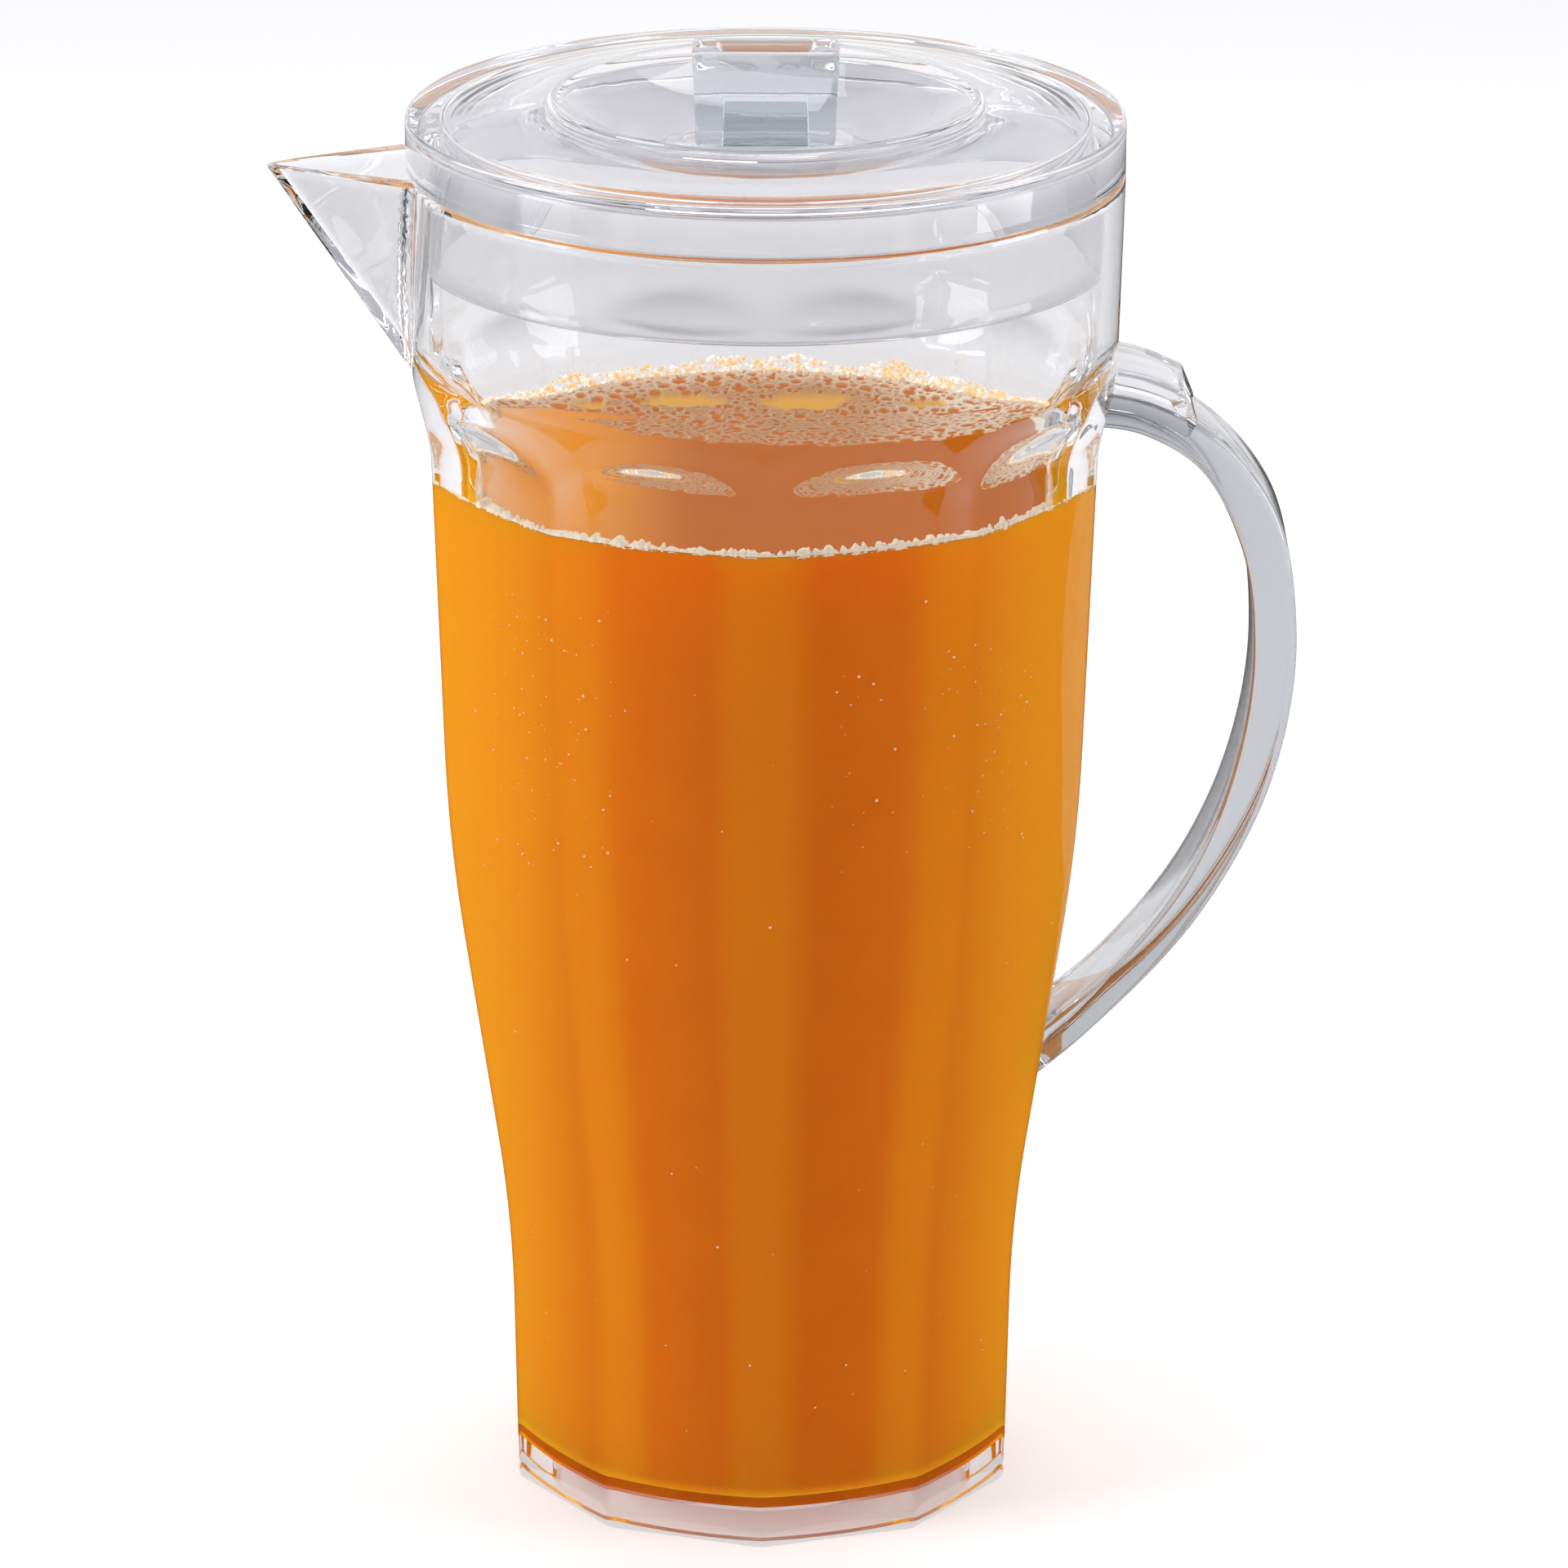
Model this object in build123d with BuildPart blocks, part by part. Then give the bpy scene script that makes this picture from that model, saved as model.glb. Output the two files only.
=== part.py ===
from build123d import *
from math import asin, cos, sin, sqrt
import os

# Clear two-litre juice jug: body that is faceted outside and round inside, with an open spout, strap
# handle, and a plug lid with a grip.
# Millimetres, +Z up. The origin is the centre of the foot, on the table. The spout points along -X and
# the handle along +X. A vertex of the ten-sided body points along -Y, and its flats face the spout and
# the handle.

# Body outside. The flats' distances from the axis are shares of the rim's radius, and the heights at
# which they bend are shares of the rim's height
facet_count = 10
rim_radius = 62.4
rim_height = 240.5
collar_draft = 0.9
collar_depth = 34.5
throat_depth = 48.5
throat_share = 0.923
shoulder_share = 0.8846
shoulder_rise_share = 0.5073
waist_share = 0.7163
waist_rise_share = 0.2079
foot_share = 0.7011
waist_bend_radius = 250.0
shoulder_bend_radius = 320.0
flare_radius = 20.0

# Body inside, round all the way up, so that the wall is thinnest at the middle of each flat
wall = 2.8
floor_height = 8.5
floor_chamfer = 1.2
inner_throat_rise = 2.0
inner_collar_rise = 3.0
foot_recess_depth = 5.8
foot_ring_width = 5.0

# Spout
spout_overhang = 24.1
spout_half_width = 16.5
spout_tip_round = 2.2
spout_depth = 38.0
spout_foot_inset = 1.4
spout_foot_half_width = 2.6
spout_foot_round = 1.2
spout_wall = 2.2
channel_tip_wall = 2.8
channel_tip_round = 1.2
channel_depth = 34.5
channel_foot_inset = 2.8
channel_foot_half_width = 1.4
channel_foot_round = 0.5

# Handle strap, a profile in the XZ plane given by its outer and inner curves. Reach shares run from the
# strap's root inside the wall to its full reach, rise shares from its foot to its top
strap_width = 19.0
strap_edge_chamfer = 1.7
strap_overhang = 31.0
strap_root_inset = 2.7
strap_top_depth = 37.1
strap_foot_height = 70.0
outer_reach_shares = (0.091, 0.465, 0.648, 0.903, 1.0, 0.928, 0.706, 0.3035, 0.0)
outer_rise_shares = (1.0, 0.985, 0.952, 0.845, 0.676, 0.462, 0.2815, 0.103, 0.0)
inner_reach_shares = (0.091, 0.465, 0.632, 0.802, 0.852, 0.798, 0.636, 0.397, 0.0)
inner_rise_shares = (0.945, 0.934, 0.897, 0.785, 0.645, 0.483, 0.327, 0.200, 0.065)
glue_gap = 0.08

# Saddle over the strap's upper end
saddle_side = 1.7
saddle_roof = 3.8
saddle_cover = 2.8
saddle_nose_rise = 5.2
saddle_nose_run = 2.2
saddle_seam_angle = 235.0
saddle_edge_chamfer = 0.6

# Lid
flange_inset = 0.1
flange_thickness = 9.3
flange_edge_chamfer = 0.8
seat_gap = 0.2
skirt_clearance = 0.8
skirt_wall = 2.5
skirt_depth = 15.5
skirt_draft = 0.3
panel_thickness = 2.8
lip_share = 0.5875
lip_rise = 3.1
lip_round = 0.9
dish_floor_share = 0.396
dish_depth = 9.4
dish_thickness = 2.5
bowl_steps = 3
slot_count = 3
slot_width = 3.4
slot_pitch = 7.2
slot_rise = 3.5
slot_length = 9.5

# Grip on the lid
grip_length = 24.0
grip_width = 9.4
grip_height = 18.3
grip_taper = 2.4
grip_edge_round = 1.0
core_length = 15.0
core_width = 5.2
core_height = 9.1

overrun = 6.0

# Sizes that follow from the ones above
collar_foot_radius = rim_radius - collar_draft
collar_foot_height = rim_height - collar_depth
throat_apothem = rim_radius * throat_share
throat_height = rim_height - throat_depth
shoulder_apothem = rim_radius * shoulder_share
shoulder_height = rim_height * shoulder_rise_share
waist_apothem = rim_radius * waist_share
waist_height = rim_height * waist_rise_share
foot_apothem = rim_radius * foot_share
neck_radius = rim_radius - wall
spout_reach = rim_radius + spout_overhang
strap_reach = rim_radius + strap_overhang
strap_root = waist_apothem - strap_root_inset
strap_top_height = rim_height - strap_top_depth
lid_radius = rim_radius - flange_inset
flange_foot_height = rim_height + seat_gap
lid_top_height = flange_foot_height + flange_thickness
panel_under_height = lid_top_height - panel_thickness
skirt_radius = neck_radius - skirt_clearance
skirt_inside = skirt_radius - skirt_wall
skirt_foot_height = rim_height - skirt_depth
lip_radius = lid_radius * lip_share
lip_height = lid_top_height + lip_rise
dish_floor_radius = lip_radius * dish_floor_share
dish_floor_height = lip_height - dish_depth
dish_under_height = dish_floor_height - dish_thickness
slot_middle_height = skirt_foot_height + slot_rise + slot_length / 2


def facet_profile():
    """Closed half profile of one flat: straight foot, swelling body, then a flare out past the collar."""
    reach = rim_radius + overrun
    foot = (foot_apothem, 0)
    waist = (waist_apothem, waist_height)
    shoulder = (shoulder_apothem, shoulder_height)
    throat = (throat_apothem, throat_height)
    flare_rise = sqrt(flare_radius**2 - (flare_radius - reach + throat[0]) ** 2)
    flare_end = (reach, throat_height + flare_rise)
    FilletPolyline(foot, waist, shoulder, throat, radius=[waist_bend_radius, shoulder_bend_radius])
    RadiusArc(throat, flare_end, flare_radius)
    Polyline(flare_end, (reach, rim_height + overrun), (0, rim_height + overrun), (0, 0), foot)


def faceted_form():
    """Ten-sided form under a round collar."""
    with BuildPart() as form:
        with BuildSketch(Plane.XZ):
            with BuildLine():
                Polyline(
                    (0, 0),
                    (collar_foot_radius, 0),
                    (collar_foot_radius, collar_foot_height),
                    (rim_radius, rim_height),
                    (0, rim_height),
                    close=True,
                )
            make_face()
        revolve(axis=Axis.Z)
        for turn in range(facet_count // 2):
            with BuildSketch(Plane.XZ.rotated((0, 0, turn * 360 / facet_count))):
                with BuildLine():
                    facet_profile()
                make_face()
                mirror(about=Plane.YZ)
            extrude(amount=rim_radius + overrun, both=True, mode=Mode.INTERSECT)
    return form.part


def cavity_form():
    """Round inside: follows the middles of the flats, then opens into the collar."""
    with BuildPart() as cavity:
        with BuildSketch(Plane.XZ):
            with BuildLine():
                wall_foot = (foot_apothem - wall, floor_height + floor_chamfer)
                wall_throat = (throat_apothem - wall, throat_height + inner_throat_rise)
                FilletPolyline(
                    wall_foot,
                    (waist_apothem - wall, waist_height),
                    (shoulder_apothem - wall, shoulder_height),
                    wall_throat,
                    radius=[waist_bend_radius, shoulder_bend_radius],
                )
                Polyline(
                    wall_throat,
                    (collar_foot_radius - wall, collar_foot_height + inner_collar_rise),
                    (neck_radius, rim_height),
                    (0, rim_height),
                    (0, floor_height),
                    (wall_foot[0] - floor_chamfer, floor_height),
                    wall_foot,
                )
            make_face()
        revolve(axis=Axis.Z)
    return cavity.part


def spout_section(reach, half_width, tip_round, back):
    """Flat V with a blunt tip, open side towards the jug."""
    tip_foot = -reach + tip_round
    Polyline(
        (-reach, tip_round / 2),
        (tip_foot, tip_round),
        (-back, half_width),
        (-back, -half_width),
        (tip_foot, -tip_round),
        (-reach, -tip_round / 2),
        close=True,
    )


def spout_wedge(top, foot, foot_height, back):
    """Ruled wedge from the V at the rim down to a small V on the collar; each V is reach, half width, round."""
    with BuildPart() as wedge:
        for height, section in ((rim_height, top), (foot_height, foot)):
            with BuildSketch(Plane.XY.offset(height)):
                with BuildLine():
                    spout_section(*section, back)
                make_face()
        loft(ruled=True)
    return wedge.part


def strap_points(reach_shares, rise_shares):
    """Points of one of the strap's two curves, from the saddle down to the foot."""
    rise = strap_top_height - strap_foot_height
    return [
        (strap_root + (strap_reach - strap_root) * reach, strap_foot_height + rise * height)
        for reach, height in zip(reach_shares, rise_shares)
    ]


outer_points = strap_points(outer_reach_shares, outer_rise_shares)
inner_points = strap_points(inner_reach_shares, inner_rise_shares)


def strap_form(growth):
    """Strap between its two curves, with bevelled edges, grown above, below and sideways for its pocket."""
    with BuildPart() as strap:
        with BuildSketch(Plane.XZ):
            with BuildLine():
                outer = Spline(*[(reach, height + growth) for reach, height in outer_points])
                inner = Spline(*[(reach, height - growth) for reach, height in inner_points])
                Line(outer @ 0, inner @ 0)
                Line(outer @ 1, inner @ 1)
            make_face()
        extrude(amount=strap_width / 2 + growth, both=True)
        side_edges = strap.faces().filter_by(Axis.Y).edges()
        long_edges = side_edges.filter_by(GeomType.BSPLINE)
        chamfer(long_edges, length=strap_edge_chamfer)
    return strap.part


def saddle_form():
    """Roof over the strap's upper end, with a nose, and lips down both sides of the strap."""
    root, middle, seam = outer_points[:3]
    with BuildPart() as saddle:
        with BuildSketch(Plane.XZ):
            with BuildLine():
                top = Spline(
                    (root[0], root[1] + saddle_roof),
                    (middle[0], middle[1] + saddle_roof),
                    (seam[0] - saddle_nose_run, seam[1] + saddle_nose_rise),
                )
                Line(top @ 1, seam)
                lip = PolarLine(seam, saddle_cover, saddle_seam_angle)
                low = Spline(lip @ 1, (middle[0], middle[1] - saddle_cover), (root[0], root[1] - saddle_cover))
                Line(low @ 1, top @ 0)
            make_face()
        extrude(amount=strap_width / 2 + saddle_side, both=True)
        top_edges = saddle.edges().filter_by(GeomType.BSPLINE).group_by(Axis.Z)[-1]
        chamfer(top_edges, length=saddle_edge_chamfer)
    return saddle.part


def bowl_points(foot, rim):
    """Points of the dish's side, level at its foot and steeper towards its rim."""
    run, rise = rim[0] - foot[0], rim[1] - foot[1]
    bend_radius = (run**2 + rise**2) / rise / 2
    sweep = asin(run / bend_radius)
    turns = [sweep * step / bowl_steps for step in range(bowl_steps + 1)]
    return [(foot[0] + bend_radius * sin(turn), foot[1] + bend_radius * (1 - cos(turn))) for turn in turns]


blank = faceted_form()
wedge_back = neck_radius - spout_wall
spout_body = spout_wedge(
    (spout_reach, spout_half_width, spout_tip_round),
    (rim_radius - spout_foot_inset, spout_foot_half_width, spout_foot_round),
    rim_height - spout_depth,
    wedge_back,
)
spout_channel = spout_wedge(
    (spout_reach - channel_tip_wall, spout_half_width - spout_wall, channel_tip_round),
    (rim_radius - channel_foot_inset, channel_foot_half_width, channel_foot_round),
    rim_height - channel_depth,
    wedge_back - overrun,
)

# Jug: outside, then its hollow, spout channel, handle pocket and foot recess
with BuildPart() as jug_body:
    add(blank)
    add(spout_body)
    add(saddle_form())
    add(cavity_form(), mode=Mode.SUBTRACT)
    add(spout_channel, mode=Mode.SUBTRACT)
    add(strap_form(glue_gap), mode=Mode.SUBTRACT)
    with BuildSketch(Plane.XY):
        Circle(foot_apothem - foot_ring_width)
    extrude(amount=foot_recess_depth, mode=Mode.SUBTRACT)
jug_body.part.label = "jug_body"

# Strap: stands off the jug by a glue film
with BuildPart() as handle:
    add(strap_form(0))
    with Locations((glue_gap, 0, 0)):
        add(blank, mode=Mode.SUBTRACT)
handle.part.label = "handle"

# Lid: one turned section, then the strainer slots that face the spout
with BuildPart() as lid:
    with BuildSketch(Plane.XZ) as lid_section:
        with BuildLine():
            dish_inner_rim = (lip_radius - lip_round, lip_height - lip_round / 2)
            dish_outer_rim = (lip_radius + lip_round, lip_height - lip_round - dish_thickness)
            Polyline(
                (0, dish_floor_height),
                *bowl_points((dish_floor_radius, dish_floor_height), dish_inner_rim),
                (lip_radius - lip_round / 2, lip_height),
                (lip_radius + lip_round / 2, lip_height),
                (lip_radius + lip_round, lip_height - lip_round),
                (skirt_inside, lid_top_height),
                (lid_radius, lid_top_height),
                (lid_radius, flange_foot_height),
                (skirt_radius + skirt_draft, flange_foot_height),
                (skirt_radius, skirt_foot_height),
                (skirt_inside, skirt_foot_height),
                (skirt_inside, panel_under_height),
                *reversed(bowl_points((dish_floor_radius, dish_under_height), dish_outer_rim)),
                (0, dish_under_height),
                close=True,
            )
        make_face()
        flange_edge = lid_section.vertices().group_by(Axis.X)[-1].sort_by(Axis.Y)[-1]
        chamfer(flange_edge, length=flange_edge_chamfer)
    revolve(axis=Axis.Z)
    with BuildSketch(Plane.YZ.offset(-lid_radius)):
        with Locations((0, slot_middle_height)):
            with GridLocations(slot_pitch, 0, slot_count, 1):
                Rectangle(slot_width, slot_length)
    extrude(amount=lid_radius / 2, mode=Mode.SUBTRACT)
lid.part.label = "lid"

# Grip: block that widens upwards, cored from below
with BuildPart() as lid_knob:
    with BuildSketch(Plane.XY.offset(dish_floor_height)):
        RectangleRounded(grip_length, grip_width, radius=grip_edge_round)
    extrude(amount=grip_height, taper=-grip_taper)
    chamfer(lid_knob.faces().sort_by(Axis.Z)[-1].edges(), length=grip_edge_round / 2)
    with BuildSketch(Plane.XY.offset(dish_floor_height)):
        Rectangle(core_length, core_width)
    extrude(amount=core_height, taper=grip_taper, mode=Mode.SUBTRACT)
lid_knob.part.label = "lid_knob"

os.makedirs("parts", exist_ok=True)
for piece in (jug_body, handle, lid, lid_knob):
    export_step(piece.part, f"parts/{piece.part.label}.step")
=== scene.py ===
import random
from math import asin, cos, degrees, hypot, pi, radians, sin, sqrt

import bmesh
import bpy
from bpy.props import FloatProperty, FloatVectorProperty, IntProperty, PointerProperty
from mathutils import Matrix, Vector, noise


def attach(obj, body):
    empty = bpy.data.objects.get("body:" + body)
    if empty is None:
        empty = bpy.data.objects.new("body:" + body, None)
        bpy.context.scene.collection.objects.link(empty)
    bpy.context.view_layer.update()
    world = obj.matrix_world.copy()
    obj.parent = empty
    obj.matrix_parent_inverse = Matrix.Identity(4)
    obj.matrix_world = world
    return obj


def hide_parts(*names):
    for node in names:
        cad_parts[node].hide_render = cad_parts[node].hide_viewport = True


bl_info = {
    "name": "Juice jug",
    "version": (1, 0, 0),
    "blender": (4, 5, 0),
    "location": "View3D > Sidebar > Juice jug",
    "description": "Clear ten-sided jug of orange juice with a lid and a strap handle, on a studio stage",
    "category": "Add Mesh",
}

# Metres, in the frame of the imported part: origin at the centre of the foot, spout along -X, handle along
# +X. Sizes below that aren't properties follow the solids, and are written in millimetres times mm
mm = 0.001
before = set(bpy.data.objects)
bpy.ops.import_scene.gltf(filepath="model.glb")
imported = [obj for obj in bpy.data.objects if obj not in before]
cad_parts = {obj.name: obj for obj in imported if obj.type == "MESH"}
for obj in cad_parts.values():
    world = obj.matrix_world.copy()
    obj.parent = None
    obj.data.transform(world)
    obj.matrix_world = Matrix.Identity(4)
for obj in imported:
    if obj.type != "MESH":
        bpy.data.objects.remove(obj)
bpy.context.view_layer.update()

facet_count = 10
facet_step = radians(360 / facet_count)
half_facet = facet_step / 2
spout_side = pi

# Refraction of juice and froth, and how often clear plastic bends a ray before it goes straight through
juice_index = 1.34
bends_shown = 10

# Float layers of the froth's mesh, and the side of the squares that its bubbles are sorted into
froth_layers = ("open_bubble", "clear_film", "dry_froth_and_highlight")
bucket_size = 2 * mm

# Clear plastics: scale of the ripples, how far they are drawn out upright, wear, and depth of the ripples
plastics = {
    "body": (55.0, 0.22, 0.02, 0.0006), "strap": (70.0, 0.5, 0.03, 0.0004),
    "lid": (60.0, 1.0, 0.03, 0.0004), "grip": (150.0, 0.6, 0.04, 0.0003),
}

# Strap curves in the XZ plane, from the saddle down to the foot
strap_outer = (
    (46.7, 203.4), (65.9, 201.4), (75.3, 197.0), (88.4, 182.7), (93.3, 160.2),
    (89.7, 131.6), (78.3, 107.6), (57.6, 83.7), (42.0, 70.0),
)
strap_inner = (
    (46.7, 196.1), (65.9, 194.6), (74.5, 189.7), (83.2, 174.7), (85.8, 156.0),
    (83.0, 134.4), (74.7, 113.6), (62.4, 96.7), (42.0, 78.7),
)

# Half section of the lid: distance from the axis, height, and how round the corner is
lid_section = (
    (0.0, 243.7, 0.0), (26.99, 243.7, 29.2), (36.1, 253.1, 0.45), (37.2, 253.1, 0.45), (37.6, 252.2, 0.9),
    (56.3, 250.0, 1.5), (62.3, 250.0, 0.9), (62.3, 240.7, 0.5), (59.1, 240.7, 0.5), (59.04, 238.0, 0.0),
    (58.87, 228.5, 0.0), (58.8, 225.0, 0.6), (56.3, 225.0, 0.6), (56.3, 228.5, 0.0), (56.3, 238.0, 0.0),
    (56.3, 247.2, 1.4), (37.5, 249.7, 1.5), (27.56, 241.2, 33.5), (0.0, 241.2, 0.0),
)

# Place in it of the corner on the skirt's outside at the top of the slots
slot_corner = 9


def length(name, millimetres, description):
    """Length property: given in millimetres, kept in metres."""
    return FloatProperty(name=name, description=description, default=millimetres * mm, min=0.0,
                         precision=5, unit="LENGTH", subtype="DISTANCE")


def share(name, default, description):
    """Plain number from zero to one."""
    return FloatProperty(name=name, description=description, default=default, min=0.0, max=1.0,
                         subtype="FACTOR")


def colour(name, default, description):
    """Colour property, in linear light."""
    return FloatVectorProperty(name=name, description=description, default=default, size=3, min=0.0,
                               max=1.0, subtype="COLOR")


def strength(name, default, description, unit="NONE"):
    """Strength of a light or of a glow."""
    return FloatProperty(name=name, description=description, default=default, min=0.0, unit=unit)


class JugSizes(bpy.types.PropertyGroup):
    rim_radius: length("Rim radius", 62.4, "Outside of the collar at the rim")
    rim_height: length("Rim height", 240.5, "Top of the collar above the table")
    collar_draft: length("Collar draft", 0.9, "How much narrower the collar is at its foot")
    collar_depth: length("Collar depth", 34.5, "From the rim down to the collar's foot")
    throat_apothem: length("Throat", 57.6, "Axis to a flat where its flare starts")
    throat_height: length("Throat height", 192.0, "Where the flats start to flare out")
    flare_radius: length("Flare radius", 20.0, "Radius at which a flat sweeps out to the collar")
    shoulder_apothem: length("Shoulder", 55.2, "Axis to a flat at the shoulder")
    shoulder_height: length("Shoulder height", 122.0, "Height of the upper bend of the flats")
    shoulder_round: length("Shoulder bend", 320.0, "Radius of the upper bend")
    waist_apothem: length("Waist", 44.7, "Axis to a flat at the waist")
    waist_height: length("Waist height", 50.0, "Height of the lower bend of the flats")
    waist_round: length("Waist bend", 250.0, "Radius of the lower bend")
    foot_apothem: length("Foot", 43.75, "Axis to a flat at the table")
    facet_round: length("Facet edge", 0.8, "How far the edges between flats are blended")
    arch_round: length("Arch edge", 0.9, "How far the arches under the collar are blended")
    wall: length("Wall", 2.8, "Thickness of the body's wall at the middle of a flat")
    throat_rise: length("Throat rise", 2.0, "How much higher the hollow starts to open than the flats")
    collar_rise: length("Collar rise", 3.0, "How much higher the hollow reaches the collar's width")
    floor_height: length("Floor", 8.5, "Height of the inside floor")
    floor_round: length("Floor corner", 0.8, "Rounding between wall and inside floor")
    recess_depth: length("Foot recess", 5.8, "Depth of the hollow under the foot")
    ring_width: length("Foot ring", 5.0, "Width of the ring it stands on")
    edge_round: length("Small edges", 0.5, "Rounding of the rim and the foot")


class SpoutSizes(bpy.types.PropertyGroup):
    overhang: length("Overhang", 24.1, "Rim to the tip of the spout")
    half_width: length("Half width", 16.5, "Half the spout's width at the collar")
    depth: length("Depth", 38.0, "Rim down to the foot of the spout")
    foot_inset: length("Foot inset", 1.4, "How far its foot starts inside the collar")
    foot_half_width: length("Foot half width", 2.6, "Half its width at the foot")
    wall: length("Wall", 2.2, "Thickness of its two sides")
    tip_wall: length("Tip wall", 2.8, "Thickness at the tip")
    channel_depth: length("Channel depth", 34.5, "Rim down to the foot of the channel")
    channel_half_width: length("Channel foot", 1.4, "Half the channel's width at its foot")
    tip_blunt: share("Tip blunting", 0.022, "How blunt the ridge of the spout is")
    root_round: length("Root", 1.2, "Blend between the spout and the collar")


class StrapSizes(bpy.types.PropertyGroup):
    width: length("Width", 19.0, "Width of the strap")
    edge_round: length("Edges", 1.5, "Rounding along the strap")
    glue_gap: length("Glue gap", 0.1, "Film between the strap and the jug")
    saddle_side: length("Saddle side", 1.62, "Thickness of the saddle's lips")
    saddle_roof: length("Saddle roof", 3.8, "Height of the saddle over the strap")
    saddle_cover: length("Saddle cover", 2.8, "How far the lips reach down the strap")
    nose_rise: length("Nose rise", 5.2, "Height of the saddle's nose over the seam")
    nose_run: length("Nose run", 2.2, "How far the nose leans back")
    saddle_edge: length("Saddle edges", 0.6, "Rounding of the saddle's edges")


class LidSizes(bpy.types.PropertyGroup):
    slot_width: length("Slot width", 3.4, "Width of a strainer slot")
    slot_pitch: length("Slot pitch", 7.2, "Distance between the slots")
    slot_foot: length("Slot foot", 228.5, "Height of the slots' lower ends")
    slot_top: length("Slot top", 238.0, "Height of the slots' upper ends")
    grip_length: length("Grip length", 24.0, "Length of the grip at its foot")
    grip_width: length("Grip width", 9.4, "Width of the grip at its foot")
    grip_height: length("Grip height", 18.3, "Height of the grip over the dish")
    grip_flare: length("Grip flare", 0.74, "How much each side leans out")
    grip_round: length("Grip corners", 1.0, "Rounding of its upright edges")
    core_length: length("Core length", 15.0, "Length of the hollow under the grip")
    core_width: length("Core width", 5.2, "Width of the hollow")
    core_height: length("Core height", 9.1, "Height of the hollow")


class JuiceSizes(bpy.types.PropertyGroup):
    level: length("Level", 186.9, "Height of the juice")
    contact: length("Contact", 0.15, "How far the juice is set into the wall, so that no air shows between")
    meniscus: length("Meniscus", 0.4, "How far the juice climbs the wall")
    froth_depth: length("Froth", 1.2, "Thickness of the froth at the back")
    bead: length("Bead", 0.95, "Thickness of the line of froth along the wall")
    bubble_count: IntProperty(name="Bubbles", description="Open bubbles in the froth", default=900, min=0)
    fleck_count: IntProperty(name="Flecks", description="Tiny bubbles against the wall", default=260, min=0)


class Finishes(bpy.types.PropertyGroup):
    body_plastic: colour("Body plastic", (0.868, 0.866, 0.872), "Light that one wall of the jug lets through")
    strap_plastic: colour("Strap plastic", (0.51, 0.525, 0.54), "Light that the thick strap lets through")
    lid_plastic: colour("Lid plastic", (0.835, 0.837, 0.85), "Light that one wall of the lid lets through")
    grip_plastic: colour("Grip plastic", (0.79, 0.82, 0.84), "Light that one wall of the grip lets through")
    plastic_index: FloatProperty(name="Refraction", description="Refractive index of the plastic",
                                 default=1.5, min=1.0, max=2.0)
    juice: colour("Juice", (0.77, 0.205, 0.010), "Orange juice seen through the front flats")
    juice_deep: colour("Deep juice", (0.71, 0.165, 0.008), "Pulpy clouds in the juice")
    # Painted light: juice drawn yellower behind the edges between flats and at the left and right sides,
    # where light gathers
    juice_edge_painted_light: colour("Juice at the edges", (0.83, 0.31, 0.012), "Juice behind the edges and at the sides")
    juice_top: colour("Juice surface", (0.54, 0.12, 0.003), "Upper surface of the juice")
    juice_bright: colour("Bright surface", (0.90, 0.32, 0.03), "Upper surface where the key light falls")
    juice_film: colour("Juice film", (0.84, 0.44, 0.08), "Thin clear juice behind the froth")
    froth: colour("Froth", (0.58, 0.31, 0.135), "Froth of the raft")
    froth_wet: colour("Wet froth", (0.66, 0.18, 0.012), "Juice seen at the bottom of a bubble")
    froth_line: colour("Froth line", (0.94, 0.80, 0.60), "Dry froth along the wall")
    sparkle: colour("Sparkling bubbles", (0.98, 0.95, 0.88), "Clean bubbles that cling to the wall")
    film_bubble: colour("Film bubbles", (0.90, 0.62, 0.28), "Bubbles that keep a film of juice")
    floor: colour("Floor", (0.76, 0.76, 0.76), "Pale studio floor")


class StageSettings(bpy.types.PropertyGroup):
    key_power: strength("Key light", 16.0, "Large soft light at the left", "POWER")
    fill_power: strength("Fill light", 9.0, "Soft light at the right", "POWER")
    top_power: strength("Top light", 8.0, "Soft light overhead", "POWER")
    room_light: strength("Room light", 0.55, "Even light of the room")
    floor_glow: strength("Floor white", 0.30, "Lifts the floor to white for the camera")


# Shared shape helpers


def soft_min(first, second, blend):
    """The smaller of two, with the crease between them rounded over the blend."""
    overlap = max(blend - abs(first - second), 0.0) / blend
    return min(first, second) - overlap * overlap * blend / 4


def soft_max(first, second, blend):
    """The larger of two, with the crease between them filled over the blend."""
    return -soft_min(-first, -second, blend)


def rounded_run(corners, radii, steps):
    """Run of points through the corners, each turned into an arc of its own radius."""
    run = [Vector(corners[0])]
    for before, corner, after, radius in zip(corners, corners[1:], corners[2:], radii):
        corner = Vector(corner)
        if radius == 0:
            run.append(corner)
            continue
        back = (Vector(before) - corner).normalized()
        ahead = (Vector(after) - corner).normalized()
        half_angle = back.angle(ahead) / 2
        outwards = -(back + ahead).normalized()
        along = (ahead - back).normalized()
        centre = corner - outwards * radius / sin(half_angle)
        half_sweep = pi / 2 - half_angle
        for step in range(steps + 1):
            bend = half_sweep * (2 * step / steps - 1)
            run.append(centre + (outwards * cos(bend) + along * sin(bend)) * radius)
    run.append(Vector(corners[-1]))
    return run


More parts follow.
